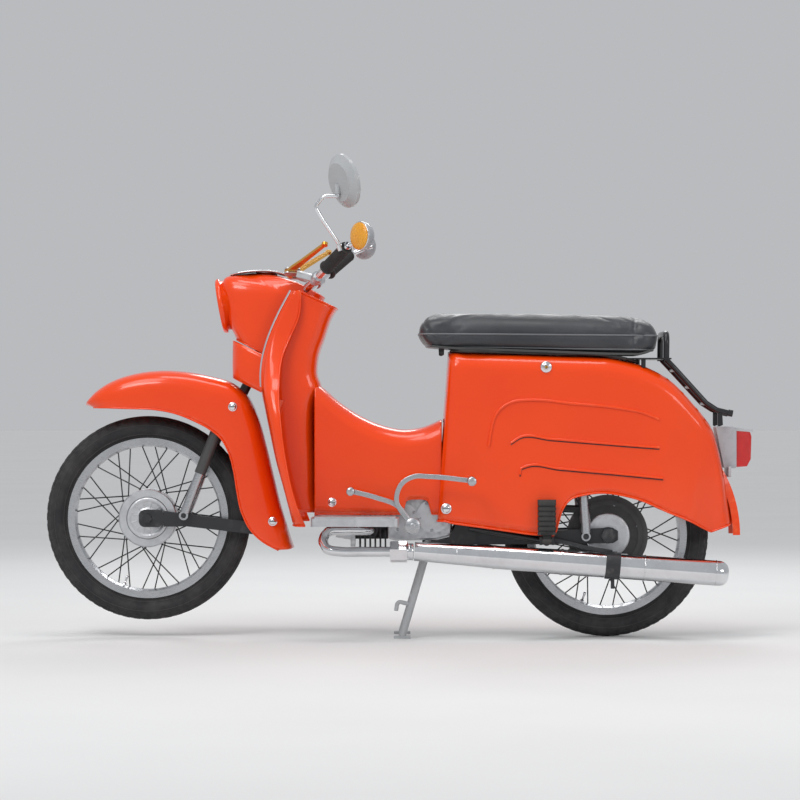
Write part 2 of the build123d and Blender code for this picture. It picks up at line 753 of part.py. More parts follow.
def make_headlamp():
    """The lamp shell that also covers the bar's centre, with its rim, its lens and the speedometer."""
    half = HEAD_HALF_WIDTH
    with BuildPart() as outer:
        with BuildSketch(steer_plane(-162)):
            Circle(half)
            with Locations((-70, 0)):
                Rectangle(140, 2 * half)
        extrude(amount=215)
        with BuildSketch(side(0)):
            with BuildLine():
                run = Spline(*HEAD_SIDE)
                Polyline(run @ 1, (-248, 922), steer_point(39, 90)[0::2], steer_point(-162, 90)[0::2],
                         steer_point(-162, -60)[0::2], run @ 0)
            make_face()
        extrude(amount=half + 5, both=True, mode=Mode.INTERSECT)
    with BuildPart() as inner:
        with BuildSketch(steer_plane(-170)):
            Circle(half - SHEET)
            with Locations((-70, 0)):
                Rectangle(140, 2 * half - 2 * SHEET)
        extrude(amount=223)
        with BuildSketch(side(0)):
            with BuildLine():
                run = Spline(*inset(HEAD_SIDE, SHEET))
                Polyline(run @ 1, (-249, 919), steer_point(36, 90)[0::2], steer_point(-172, 90)[0::2],
                         steer_point(-172, -60)[0::2], run @ 0)
            make_face()
        extrude(amount=half + 5, both=True, mode=Mode.INTERSECT)
    face = Plane(origin=LAMP_CENTRE, z_dir=LAMP_DIR)
    dial = Plane(origin=(-350, 0, 950), z_dir=(0.02, 0, 1))
    with BuildPart() as housing:
        add(outer.part)
        add(inner.part, mode=Mode.SUBTRACT)
        add(bar_rod(12.5), mode=Mode.SUBTRACT)
        with BuildSketch(face.offset(-40)):
            Circle(66)
        extrude(amount=80, mode=Mode.SUBTRACT)
        with BuildSketch(dial.offset(-5)):
            Circle(28)
        extrude(amount=30, mode=Mode.SUBTRACT)
    save(housing, "headlamp_housing")
    with BuildPart() as rim:
        with BuildSketch(face.offset(-18)):
            Circle(65.8)
            Circle(61, mode=Mode.SUBTRACT)
        extrude(amount=26)
        with BuildSketch(face.offset(8)):
            Circle(73)
            Circle(61, mode=Mode.SUBTRACT)
        extrude(amount=6, taper=20)
    save(rim, "headlamp_rim")
    with BuildPart() as lens:
        with BuildSketch(face.offset(-2)):
            Circle(60.8)
        extrude(amount=6)
        with BuildSketch(face.offset(4)):
            Circle(60.8)
        extrude(amount=9, taper=62)
    save(lens, "headlamp_lens")
    with BuildPart() as speedo:
        with BuildSketch(dial.offset(-20)):
            Circle(27.8)
        extrude(amount=34)
        with BuildSketch(dial.offset(13.4)):
            Circle(31)
        extrude(amount=4, taper=25)
    save(speedo, "speedometer")


SHIELD_FRONT = [(-284, 914), (-319, 848), (-346, 782), (-361, 716), (-361, 652), (-351, 600), (-339, 543),
                (-323, 469), (-302, 392), (-278, 298)]
SHIELD_REAR = [(-244, 298), (-264, 347), (-294, 469), (-308, 578), (-313, 672), (-306, 738), (-283, 795),
               (-262, 848), (-258, 905)]
SHIELD_OUTLINE = [(116, 914), (117, 850), (122, 790), (138, 735), (168, 685), (205, 640), (228, 585),
                  (235, 500),
                  (235, 400), (228, 330), (208, 298)]
TROUGH = [(-301, 626), (-312, 600), (-320, 545), (-316, 480), (-300, 400), (-279, 302)]


def shield_block(front, rear, outline):
    """The shield's side profile spread sideways and cut to its front outline."""
    with BuildPart() as block:
        with BuildSketch(side(0)):
            with BuildLine():
                run = Spline(*front)
                Polyline(run @ 1, *rear, run @ 0)
            make_face()
        extrude(amount=260, both=True)
        with BuildSketch(Plane.YZ.offset(-450)):
            with BuildLine():
                right = Spline(*outline)
                left = Spline(*[(-y, z) for y, z in outline])
                Line(right @ 0, left @ 0)
                Line(right @ 1, left @ 1)
            make_face()
        extrude(amount=400, mode=Mode.INTERSECT)
    return block.part


def grown(outline, distance):
    return [(y + distance, z) for y, z in outline]


def make_leg_shield():
    outer = shield_block(SHIELD_FRONT, SHIELD_REAR, SHIELD_OUTLINE)
    back = [(-200, 290), (-200, 930)]
    cavity = shield_block(inset(SHIELD_FRONT, -SHEET), back, grown(SHIELD_OUTLINE, -SHEET))
    with BuildPart() as shield:
        add(outer)
        add(cavity, mode=Mode.SUBTRACT)
        with BuildSketch(Plane.XY.offset(300.5)):
            with Locations((-330, 0)):
                Rectangle(300, 200)
        extrude(amount=700, mode=Mode.SUBTRACT)
        with BuildSketch(Plane.XY.offset(630)):
            with Locations((-330, 0)):
                Rectangle(300, 208)
        extrude(amount=400, mode=Mode.SUBTRACT)
        with BuildSketch(side(0)):
            with BuildLine():
                front = Spline(*TROUGH)
                back = Spline(*inset(TROUGH, -SHEET))
                Line(front @ 0, back @ 0)
                Line(front @ 1, back @ 1)
            make_face()
        extrude(amount=100, both=True)
        for s in (-1, 1):
            with BuildSketch(side(s * 98.75)):
                with BuildLine():
                    Polyline((-355, 624), *SHIELD_FRONT[5:9], (-279, 302), (-276, 302),
                             *reversed(TROUGH[1:5]),
                             (-302, 624), close=True)
                make_face()
            extrude(amount=1.25, both=True)
    save(shield, "leg_shield")


def make_chrome_trim():
    """Bright edge strips on the shield, the seat lock and the domed cap bolts of the side panels."""
    strip_front = SHIELD_FRONT[:5]
    strip_rear = [(x + 9, z) for x, z in reversed(strip_front)]
    band = shield_block(strip_front, strip_rear[1:], grown(SHIELD_OUTLINE, 2.5))
    with BuildPart() as trim:
        add(band)
        add(shield_block([(x - 20, z) for x, z in SHIELD_FRONT], [(-150, 280), (-150, 940)],
                         grown(SHIELD_OUTLINE, 0.05)), mode=Mode.SUBTRACT)
        with BuildSketch(Plane.XY.offset(600)):
            with Locations((-330, 0)):
                Rectangle(300, 225)
        extrude(amount=400, mode=Mode.SUBTRACT)
        for s in (-1, 1):
            add(disc(-176, 358, s * TUNNEL_HALF_WIDTH, 12, 3.5))
            add(disc(123, 342, s * BODY_HALF_WIDTH, 14, 4))
        add(disc(384, 712, -BODY_HALF_WIDTH, 15, 4))
    save(trim, "chrome_trim")


def make_neck_cover():
    """The pressing that closes the steering head's front between the lamp and the front mudguard."""
    plan = [(-432, 56), (-422, 70), (-400, 84), (-370, 94), (-350, 98)]
    with BuildPart() as neck:
        with BuildSketch(Plane.XY.offset(600)):
            with BuildLine():
                Polyline(*plan, *[(x, -y) for x, y in reversed(plan)], close=True)
            make_face()
        extrude(amount=250)
        with BuildSketch(side(0)):
            with BuildLine():
                Polyline((-430, 780), (-430, 691), (-352, 651), (-352, 740), close=True)
            make_face()
        extrude(amount=110, both=True, mode=Mode.INTERSECT)
        with BuildSketch(Plane.XY.offset(600)):
            with BuildLine():
                inside = [(x + SHEET, y - SHEET) for x, y in plan]
                Polyline(*inside, *[(x, -y) for x, y in reversed(inside)], close=True)
            make_face()
        extrude(amount=250, mode=Mode.SUBTRACT)
    save(neck, "neck_cover")


def make_column_cover():
    """Rider-side cover of the steering column, with the round pocket the lamp shell turns in."""
    top_front = steer_point(27, 22)
    rear = [(-164, 866), (-180, 838), (-196, 790), (-213, 738), (-216, 694), (-205, 655), (-218, 615),
            (-223, 562), (-220, 474), (-216, 356), (-208, 331)]
    front = [(-272, 331), (-292, 400), (-308, 480), (-312, 545), (-304, 600), (-284, 648), (-330, 662),
             (-345, 716), (-330, 782), (-303, 848), (-270, 905)]
    with BuildPart() as cover:
        with BuildSketch(side(0)):
            with BuildLine():
                Polyline(*rear, *front, (top_front[0], top_front[2]), close=True)
            make_face()
        extrude(amount=COLUMN_HALF_WIDTH, both=True)
        with BuildSketch(side(0)):
            with BuildLine():
                Polyline((-170, 861), (-184, 836), (-199, 790), (-216, 738), (-219, 694), (-208, 655),
                         (-221, 615),
                         (-226, 562), (-223, 474), (-219, 356), (-211, 300), (-400, 300), (-400, 980),
                         (top_front[0] - 2, top_front[2] - 2.5), close=True)
            make_face()
        extrude(amount=COLUMN_HALF_WIDTH - SHEET, both=True, mode=Mode.SUBTRACT)
        with BuildSketch(steer_plane(-165)):
            Circle(84)
            with Locations((-48, 0)):
                Rectangle(152, 2 * COLUMN_HALF_WIDTH - 2 * SHEET)
        extrude(amount=260, mode=Mode.SUBTRACT)
        with BuildSketch(Plane.XY.offset(412)):
            with Locations((-218, 0)):
                Rectangle(30, 54)
        extrude(amount=90, mode=Mode.SUBTRACT)
    save(cover, "column_cover")


TUNNEL_TOP = [(-199, 654), (-165, 624), (-113, 588), (-47, 558), (19, 546), (64, 553), (108, 571)]


def make_tunnel_cover():
    closing = [(107, 562), (98.5, 327), (-207, 327), (-215, 356), (-219, 474), (-222, 562), (-217, 615)]
    outer = pressing(TUNNEL_TOP, closing, TUNNEL_HALF_WIDTH, None, 30)
    low = [(150, 560), (150, 200), (-260, 200), (-260, 645)]
    longer = [(-215, 670)] + TUNNEL_TOP[1:-1] + [(118, 577)]
    inner = pressing(inset(longer, SHEET), low, TUNNEL_HALF_WIDTH - SHEET, None, 27.5)
    with BuildPart() as tunnel:
        add(outer)
        add(inner, mode=Mode.SUBTRACT)
        with BuildSketch(side(0)):
            with Locations((47, 327)):
                Circle(34)
            with Locations((47, 345)):
                RectangleRounded(68, 44, 20)
        extrude(amount=130, both=True, mode=Mode.SUBTRACT)
    save(tunnel, "tunnel_cover")


BODY_TOP = [(132, 753), (384, 745), (551, 739), (642, 717), (706, 684), (771, 620), (821, 557), (838, 511),
            (853, 445), (866, 371), (876, 279)]
BODY_LOW = [(820, 279), (795, 293), (768, 306), (718, 327), (668, 350), (630, 364), (592, 375), (541, 383),
            (495, 380), (450, 368), (430, 345), (416, 310), (412, 279), (366, 274), (100, 309), (109, 562),
            (114, 582), (132, 618)]
BODY_PLAN = [(90, 135), (600, 135), (700, 130), (780, 116), (840, 92), (880, 70)]
BODY_GROOVES = [
    [(234, 505), (241, 553), (252, 590), (276, 614), (321, 628), (450, 617), (578, 604), (642, 591),
     (680, 575)],
    [(292, 514), (315, 530), (500, 516), (680, 502)],
    [(316, 431), (314, 449), (334, 454), (500, 440), (690, 422)],
]


def make_rear_body():
    outer = pressing(BODY_TOP, BODY_LOW, BODY_HALF_WIDTH, BODY_PLAN, 28)
    low = [(900, 100), (60, 100), (60, 572), (114, 576), (134.5, 617)]
    top = [(134.5, 750.4)] + inset(BODY_TOP, SHEET)[1:]
    inner = pressing(top, low, BODY_HALF_WIDTH - SHEET, narrowed(BODY_PLAN, SHEET), 25.5)
    with BuildPart() as body:
        add(outer)
        add(inner, mode=Mode.SUBTRACT)
        for s in (-1, 1):
            for groove in BODY_GROOVES:
                with BuildSketch(side(s * BODY_HALF_WIDTH)):
                    with BuildLine() as path:
                        FilletPolyline(*groove, radius=8)
                    trace(path.line, line_width=5)
                extrude(amount=1.2, both=True, mode=Mode.SUBTRACT)
            with BuildSketch(side(s * 68)):
                with BuildLine():
                    Polyline((135, 720), (110, 740), (102, 750), (104, 757), (112, 759), (120, 757),
                             (134, 745),
                             close=True)
                make_face()
                with Locations((112, 750)):
                    Circle(4 + RUNNING_GAP, mode=Mode.SUBTRACT)
            extrude(amount=3, both=True)
            with BuildSketch(Plane.XY.offset(690)):
                with Locations((640, s * 108)):
                    Circle(6.2)
            extrude(amount=60, mode=Mode.SUBTRACT)
        with BuildSketch(Plane.XY.offset(200)):
            with Locations((880, 0)):
                Rectangle(80, 123)
        extrude(amount=258, mode=Mode.SUBTRACT)
    save(body, "rear_body")


def make_seat():
    cushion_side = [(72, 765), (48, 796), (54, 838), (90, 850), (257, 851), (500, 846), (640, 839),
                    (680, 812),
                    (674, 756), (629, 741), (546, 744), (384, 750), (148, 758)]
    with BuildPart() as pan:
        with BuildSketch(side(0)):
            with BuildLine():
                Polyline((85, 764), (148, 758.2), (384, 750.2), (546, 744.2), (629, 743), (660, 753),
                         (660, 759),
                         (629, 749), (546, 750.2), (384, 756.2), (148, 764.2), (85, 770), close=True)
            make_face()
        extrude(amount=118, both=True)
        with BuildSketch(across(112, -74, 750)):
            Circle(4)
        extrude(amount=148)
        for s in (-1, 1):
            with BuildSketch(side(s * 60)):
                with BuildLine():
                    Polyline((105, 764), (106, 745), (112, 743), (118, 745), (119, 764), close=True)
                make_face()
            extrude(amount=3, both=True)
    save(pan, "seat_pan")
    with BuildPart() as cushion:
        with BuildSketch(side(0)) as cushion_corners:
            with BuildLine():
                Polyline(*cushion_side, close=True)
            make_face()
            fillet(cushion_corners.vertices().filter_by(lambda v: v.Y > 775), 16)
        extrude(amount=SEAT_HALF_WIDTH, both=True)
        rims = cushion.edges().filter_by(lambda e: abs(abs(e.center().Y) - SEAT_HALF_WIDTH) < 0.01)
        fillet(rims.filter_by(lambda e: e.bounding_box().min.Z > 764.9 and e.bounding_box().max.Z > 790),
               14)
        add(pan.part, mode=Mode.SUBTRACT)
        with BuildSketch(side(0)):
            with BuildLine():
                Polyline((84.9, 700), (84.9, 768), (148, 760), (384, 752), (546, 746), (629, 744.5),
                         (660.1, 755),
                         (660.1, 700), close=True)
            make_face()
        extrude(amount=118, both=True, mode=Mode.SUBTRACT)
    save(cushion, "seat_cushion")


# ---------------------------------------------------------------- engine, exhaust, tank
CYLINDER_Z = 285.0


def make_engine():
    """Crankcase with its side covers, finned cylinder, finned head with the plug."""
    with BuildPart() as case:
        with BuildSketch(side(0)):
            with BuildLine():
                Polyline((-30, 262), (-30, 330), (0, 372), (40, 400), (110, 398), (140, 360), (140, 268),
                         (100, 258),
                         (-10, 256), close=True)
            make_face()
        extrude(amount=78, both=True)
        fillet(case.edges().filter_by(lambda e: abs(abs(e.center().Y) - 78) < 0.01), 7)
        for s in (-1, 1):
            for x, z, r in ((10, 316, 40), (90, 322, 44)):
                with BuildSketch(across(x, s * 81.5 - 8.5, z)):
                    Circle(r)
                extrude(amount=17)
        with BuildSketch(across(LEVER_HUB[0], -96, LEVER_HUB[1])):
            Circle(13 + RUNNING_GAP)
        extrude(amount=27, mode=Mode.SUBTRACT)
        with BuildSketch(across(30, 60, 299)):
            Circle(8 + RUNNING_GAP)
        extrude(amount=40, mode=Mode.SUBTRACT)
    save(case, "engine_case")
    with BuildPart() as cylinder:
        with BuildSketch(Plane(origin=(-30, 0, CYLINDER_Z), z_dir=(-1, 0, 0))):
            Circle(27)
        extrude(amount=86)
        for i in range(6):
            with BuildSketch(Plane(origin=(-34 - 13.4 * i, 0, CYLINDER_Z), z_dir=(-1, 0, 0))):
                RectangleRounded(98, 98, 16)
            extrude(amount=4.5)
        with BuildSketch(across(-75, -56, 284)):
            Circle(20)
        extrude(amount=30)
    save(cylinder, "cylinder")
    with BuildPart() as head:
        with BuildSketch(Plane(origin=(-116, 0, CYLINDER_Z), z_dir=(-1, 0, 0))):
            RectangleRounded(94, 94, 20)
        extrude(amount=12)
        with BuildSketch(Plane(origin=(-128, 0, CYLINDER_Z), z_dir=(-1, 0, 0))):
            Circle(30)
        extrude(amount=40, taper=10)
        for k in range(-3, 4):
            with BuildSketch(Plane(origin=(-128, k * 12, CYLINDER_Z), z_dir=(-1, 0, 0))):
                Rectangle(4, 88 - 5 * abs(k))
            extrude(amount=50 - 3 * abs(k))
        with BuildSketch(Plane(origin=(-176, 0, CYLINDER_Z), z_dir=(-1, 0, 0))):
            Circle(7)
        extrude(amount=16)
    save(head, "cylinder_head")


def make_header_pipe():
    """Exhaust bend from the cylinder port under the board, with the union nut as a separate solid."""
    with BuildPart() as pipe:
        with BuildLine() as bend:
            FilletPolyline((-75, -56.2, 284), (-75, -84, 284), (-150, -86, 284), (-197, -88, 278),
                           (-190, -124, 240), (-146, SILENCER_Y, 230), (-24, SILENCER_Y, 230), radius=15)
        with BuildSketch(start_of(bend.line)):
            Circle(13)
        sweep(path=bend.line)
        with BuildSketch(Plane(origin=(-24, SILENCER_Y, 230), z_dir=(1, 0, 0))):
            RegularPolygon(29, 6)
        extrude(amount=46)
        with BuildSketch(Plane(origin=(22, SILENCER_Y, 230), z_dir=(1, 0, 0))):
            Circle(22)
        extrude(amount=15.5)
    save(pipe, "header_pipe")


def silencer_point(x):
    t = (x - SILENCER_START[0]) / (SILENCER_END[0] - SILENCER_START[0])
    return (x, SILENCER_Y, SILENCER_START[1] + t * (SILENCER_END[1] - SILENCER_START[1]))


def make_silencer():
    """Long cigar-shaped silencer with raised seams, and the clamp that hangs it from the frame stay."""
    fall = degrees(atan2(SILENCER_START[1] - SILENCER_END[1], SILENCER_END[0] - SILENCER_START[0]))
    length = hypot(SILENCER_END[0] - SILENCER_START[0], SILENCER_END[1] - SILENCER_START[1])
    along = (cos(radians(fall)), 0, -sin(radians(fall)))
    start = (SILENCER_START[0], SILENCER_Y, SILENCER_START[1])
    profile = Plane(origin=start, x_dir=along, z_dir=(0, -1, 0))
    with BuildPart() as silencer:
        with BuildSketch(profile):
            with BuildLine():
                Polyline((0.2, 10), (0.2, 24.5), (206, 30), (206, 31.6), (211, 31.6), (211, 30.2),
                         (382, 33),
                         (382, 34.4), (388, 34.4), (388, 33), (length - 24, 33))
                Spline((length - 24, 33), (length - 8, 27), (length, 14))
                Polyline((length, 14), (length, 9), (length - 60, 9), (length - 60, 30), (388, 30),
                         (206, 27),
                         (12, 22), (12, 10), (0.2, 10))
            make_face()
        revolve(axis=Axis(start, along))
    save(silencer, "silencer")
    hang = silencer_point(557)
    with BuildPart() as clamp:
        with BuildSketch(Plane(origin=(hang[0] - 19, hang[1], hang[2] + 1.4), z_dir=along)):
            Circle(35.6)
            Circle(33.1, mode=Mode.SUBTRACT)
        extrude(amount=38)
        with BuildSketch(Plane(origin=(hang[0], SILENCER_Y, hang[2]), z_dir=(0, 0, 1))):
            with Locations((0, 20)):
                Rectangle(26, 8)
        extrude(amount=36)
        with BuildSketch(Plane.XY.offset(hang[2] - 60)):
            with Locations((hang[0], SILENCER_Y)):
                Circle(5)
        extrude(amount=26)
        with BuildLine() as strap:
            FilletPolyline((hang[0], SILENCER_Y + 20, hang[2] + 34), (hang[0] - 60, -124, hang[2] + 44),
                           (hang[0] - 150, -120, hang[2] + 66), radius=12)
        with BuildSketch(start_of(strap.line)):
            RectangleRounded(12, 12, 3)
        sweep(path=strap.line)
        with BuildSketch(Plane(origin=start, z_dir=along)):
            Circle(33.1)
        extrude(amount=length, mode=Mode.SUBTRACT)
    save(clamp, "silencer_clamp")


def make_fuel_tank():
    with BuildPart() as tank:
        with BuildSketch(side(0)):
            with BuildLine():
                Polyline((165, 560), (300, 560), (395, 640), (395, 728), (165, 732), close=True)
            make_face()
        extrude(amount=92, both=True)
        fillet(tank.edges(), 14)
        with BuildSketch(Plane.XY.offset(724)):
            with Locations((330, 0)):
                Circle(22)
        extrude(amount=14)
    save(tank, "fuel_tank")


# ---------------------------------------------------------------- boards, stand, levers, pegs
def make_footboards():
    """Pressed boards with rubber-strip ribs, joined at the front by a cross tube, lugged to the crankcase."""
    with BuildPart() as boards:
        for s in (-1, 1):
            with BuildSketch(Plane.XY.offset(299)):
                with Locations((-114, s * 177.5)):
                    RectangleRounded(228, 145, 14)
            extrude(amount=21)
            for k in range(6):
                with BuildSketch(Plane.XY.offset(320)):
                    with Locations((-114, s * (122 + 22.4 * k))):
                        RectangleRounded(212, 11, 5)
                extrude(amount=4)
            with BuildSketch(Plane.XY.offset(296)):
                with Locations((-114, s * 177.5)):
                    Rectangle(190, 122)
            extrude(amount=21, mode=Mode.SUBTRACT)
            with BuildSketch(Plane.XY.offset(304)):
                with Locations((-13, s * 98)):
                    Rectangle(18, 16)
            extrude(amount=10)
        with BuildSketch(across(-221, -120, 308)):
            Circle(6)
        extrude(amount=240)
    save(boards, "footboards")


def make_centre_stand():
    """Two splayed legs on a pivot tube, a cross tie, flat feet and the tread spur."""
    with BuildPart() as stand:
        with BuildSketch(across(STAND_PIVOT[0], -86, STAND_PIVOT[1])):
            Circle(12.5)
        extrude(amount=172)
        for s in (-1, 1):
            a = (STAND_PIVOT[0], s * 74, STAND_PIVOT[1])
            b = (STAND_FOOT[0], s * 90, 6)
            with BuildSketch(between(a, b)):
                Circle(9.5)
            extrude(amount=span(a, b))
            with BuildSketch(Plane.XY):
                with Locations((STAND_FOOT[0], s * 89)):
                    RectangleRounded(44, 22, 6)
            extrude(amount=7)
        with BuildSketch(across(36, -82, 104)):
            Circle(8)
        extrude(amount=164)
        with BuildLine() as spur:
            FilletPolyline((33, -83, 88), (-4, -92, 98), (-8, -99, 74), radius=10)
        with BuildSketch(start_of(spur.line)):
            Circle(5.5)
        sweep(path=spur.line)
        with BuildSketch(across(STAND_PIVOT[0], -90, STAND_PIVOT[1])):
            Circle(AXLE_R + RUNNING_GAP)
        extrude(amount=180, mode=Mode.SUBTRACT)
    save(stand, "centre_stand")


def flat_arm(points, width):
    """Corner points of a flat lever of one width drawn round a run of side-view points."""
    return inset(points, width / 2) + list(reversed(inset(points, -width / 2)))


def make_gear_lever():
    hub_x, hub_z = LEVER_HUB
    with BuildPart() as lever:
        with BuildSketch(across(hub_x, -172, hub_z)):
            Circle(18)
        extrude(amount=14)
        with BuildSketch(across(hub_x, -172, hub_z)):
            Circle(13)
        extrude(amount=101)
        with BuildSketch(side(-161)):
            with BuildLine():
                Polyline(*flat_arm([(hub_x - 6, hub_z + 8), (-4, 350), (-60, 372), (-126, 389)], 13),
                         close=True)
            make_face()
        extrude(amount=8)
        with BuildSketch(across(-126, -225, 389)):
            Circle(8)
        extrude(amount=64)
        with BuildSketch(across(-126, -225, 389)):
            Circle(11)
        extrude(amount=46)
        with BuildSketch(across(hub_x, -180, hub_z)):
            Circle(8 + RUNNING_GAP)
        extrude(amount=120, mode=Mode.SUBTRACT)
    save(lever, "gear_lever")


def make_kickstarter():
    hub_x, hub_z = LEVER_HUB
    crank = [(hub_x, hub_z), (8, 334), (-6, 360), (-4, 388), (10, 412), (38, 428), (80, 427), (190, 416)]
    with BuildPart() as kick:
        with BuildSketch(across(hub_x, -194, hub_z)):
            Circle(8)
        extrude(amount=118)
        with BuildSketch(across(hub_x, -193, hub_z)):
            Circle(21)
        extrude(amount=14)
        with BuildSketch(side(-181)):
            with BuildLine():
                Polyline(*flat_arm(crank, 13), close=True)
            make_face()
        extrude(amount=9)
        with BuildSketch(across(188, -250, 416)):
            Circle(7)
        extrude(amount=64)
        with BuildSketch(across(188, -250, 416)):
            Circle(12)
        extrude(amount=56)
    save(kick, "kickstarter")


def make_brake_pedal():
    with BuildPart() as pedal:
        with BuildSketch(across(30, 66, 299)):
            Circle(8)
        extrude(amount=72)
        with BuildSketch(across(30, 123, 299)):
            Circle(16)
        extrude(amount=14)
        with BuildSketch(side(134)):
            with BuildLine():
                Polyline(*flat_arm([(28, 303), (-8, 350), (-60, 364), (-130, 366)], 14), close=True)
            make_face()
        extrude(amount=8)
        with BuildSketch(Plane.XY.offset(366)):
            with Locations((-132, 158)):
                RectangleRounded(58, 66, 8)
        extrude(amount=9)
    save(pedal, "brake_pedal")


PEG_PIVOT = (385.0, 150.0, 258.0)


def make_peg_brackets():
    """The frame's forked lugs for the folding pillion pegs."""
    x, y, z = PEG_PIVOT
    with BuildPart() as lugs:
        for s in (-1, 1):
            for k in (-1, 1):
                with BuildSketch(Plane.XY.offset(z - 10)):
                    with Locations((x + k * 16, s * (y - 3))):
                        Rectangle(6, 26)
                extrude(amount=20)
            with BuildSketch(Plane.XY.offset(z - 10)):
                with Locations((x, s * (y - 13.5))):
                    Rectangle(38, 5)
            extrude(amount=20)
            with BuildSketch(Plane(origin=(x - 19, s * y, z), z_dir=(1, 0, 0))):
                Circle(4)
            extrude(amount=38)
    return lugs.part


def make_pegs():
    x, y, z = PEG_PIVOT
    for s, label in ((-1, "footpeg_left"), (1, "footpeg_right")):
        with BuildPart() as peg:
            with BuildSketch(Plane(origin=(x - 12.5, s * y, z), z_dir=(1, 0, 0))):
                Circle(9)
            extrude(amount=25)
            with BuildSketch(Plane.XY.offset(z)):
                with Locations((x, s * y)):
                    RectangleRounded(24, 14, 3)
            extrude(amount=20)
            with BuildSketch(Plane.XY.offset(z + 16)):
                with Locations((x, s * (y + 1))):
                    RectangleRounded(48, 22, 9)
            extrude(amount=92)
            for i in range(6):
                with BuildSketch(Plane.XY.offset(z + 24 + 13 * i)):
                    with Locations((x, s * (y + 1))):
                        Rectangle(60, 30)
                        RectangleRounded(45, 19, 8, mode=Mode.SUBTRACT)
                extrude(amount=4, mode=Mode.SUBTRACT)
            with BuildSketch(Plane(origin=(x - 20, s * y, z), z_dir=(1, 0, 0))):
                Circle(4 + RUNNING_GAP)
            extrude(amount=40, mode=Mode.SUBTRACT)
        save(peg, label)


# ---------------------------------------------------------------- tail
def make_rear_mudguard():
    """A channel-section arc round the rear tyre, its tail flap standing out behind the body."""
    radius, depth, half = 350.0, 20.0, 60.0
    with BuildPart() as guard:
        with BuildSketch(Plane(origin=(REAR_AXLE[0], 0, REAR_AXLE[1]), x_dir=(1, 0, 0), z_dir=(0, 0, 1))):
            with BuildLine():
                Polyline((radius - depth, half), (radius, half - 8), (radius, 8 - half),
                         (radius - depth, -half),
                         (radius - depth, 2 - half), (radius - 2, 9 - half), (radius - 2, half - 9),
                         (radius - depth, half - 2), close=True)
            make_face()
        revolve(axis=Axis((REAR_AXLE[0], 0, REAR_AXLE[1]), (0, -1, 0)), revolution_arc=152)
    save(guard, "rear_mudguard")


def make_tail_lamp():
    with BuildPart() as housing:
        with BuildSketch(side(0)):
            with BuildLine():
                Polyline((836, 556), (880, 556), (890, 550), (890, 446), (858, 446), (846, 500), close=True)
            make_face()
        extrude(amount=46, both=True)
        fillet(housing.edges().filter_by(Axis.Y), 4)
        with BuildSketch(side(0)):
            with BuildLine():
                Polyline((890, 553), (934, 548), (934, 543), (890, 545), close=True)
            make_face()
        extrude(amount=44, both=True)
        with BuildSketch(Plane.YZ.offset(868)):
            with Locations((0, 437)):
                RectangleRounded(120, 28, 5)
        extrude(amount=7)
    save(housing, "tail_lamp_housing")
    with BuildPart() as lens:
        with BuildSketch(side(0)):
            with BuildLine():
                Polyline((890.1, 544.5), (926, 542), (930, 530), (928, 470), (918, 451), (890.1, 449),
                         close=True)
            make_face()
        extrude(amount=42, both=True)
    save(lens, "tail_lamp_lens")


def make_luggage_carrier():
    """Grab handle behind the seat and the sloping tube carrier down the tail, on one base plate."""
    with BuildPart() as carrier:
        with BuildSketch(Plane.XY.offset(732.5)):
            with Locations((652, 0)):
                RectangleRounded(124, 236, 12)
        extrude(amount=4)
        with BuildLine() as handle:
            FilletPolyline((700, -105, 730), (701, -105, 800), (701, 105, 800), (700, 105, 730), radius=26)
        with BuildSketch(start_of(handle.line)):
            Circle(8)
        sweep(path=handle.line)
        for s in (-1, 1):
            with BuildLine() as rail:
                FilletPolyline((702, s * 78, 733), (722, s * 78, 712), (808, s * 68, 618),
                               (836, s * 66, 600),
                               (868, s * 66, 592), radius=12)
            with BuildSketch(start_of(rail.line)):
                Circle(7)
            sweep(path=rail.line)
            with BuildSketch(Plane.XY.offset(711.3)):
                with Locations((640, s * 108)):
                    Circle(6)
            extrude(amount=24)
            with BuildSketch(Plane(origin=(866, s * 66, 592.5), z_dir=(1, 0, -0.2))):
                Circle(9)
            extrude(amount=12)
            with BuildSketch(side(s * 66 + 4)):
                with BuildLine():
                    Polyline((838, 604), (850, 602), (852, 560), (842, 556), (838, 558), close=True)
                make_face()
            extrude(amount=8)
        for x, z, y in ((728, 706, 78), (768, 662, 73), (808, 618, 68), (846, 598, 66)):
            with BuildSketch(across(x, -y, z)):
                Circle(6)
            extrude(amount=2 * y)
    save(carrier, "luggage_carrier")


# ---------------------------------------------------------------- make every piece
make_tyre(FRONT_AXLE, "front_tyre")
make_tyre(REAR_AXLE, "rear_tyre")
make_rim(FRONT_AXLE, "front_rim")
make_rim(REAR_AXLE, "rear_rim")
make_spokes(FRONT_AXLE, 77.6, 33.0, "front_spokes")
make_spokes(REAR_AXLE, 70.6, 29.0, "rear_spokes")
make_front_hub()
make_rear_hub()
make_main_frame()
make_fork()
make_handlebar()
make_grip(-1, 0.0, "left_grip")
make_grip(1, RUNNING_GAP, "throttle_grip")
make_levers()
make_lever_clamps()
make_indicators()
make_mirror()
make_front_swingarm()
make_shock(FRONT_SHOCK_TOP, FRONT_SHOCK_LOW, 70.0, 15.0, 12.4, 0.5, 7.0,
           ("front_shock_upper", "front_shock_lower"))
make_rear_swingarm()
make_shock(REAR_SHOCK_TOP, REAR_SHOCK_LOW, REAR_SHOCK_Y, 17.0, 14.0, 0.5, 7.5,
           ("rear_shock_upper", "rear_shock_lower"))
make_chain_case()
make_front_fender()
make_headlamp()
make_leg_shield()
make_chrome_trim()
make_neck_cover()
make_column_cover()
make_tunnel_cover()
make_rear_body()
make_seat()
make_engine()
make_header_pipe()
make_silencer()
make_fuel_tank()
make_footboards()
make_centre_stand()
make_gear_lever()
make_kickstarter()
make_brake_pedal()
make_pegs()
make_rear_mudguard()
make_tail_lamp()
make_luggage_carrier()
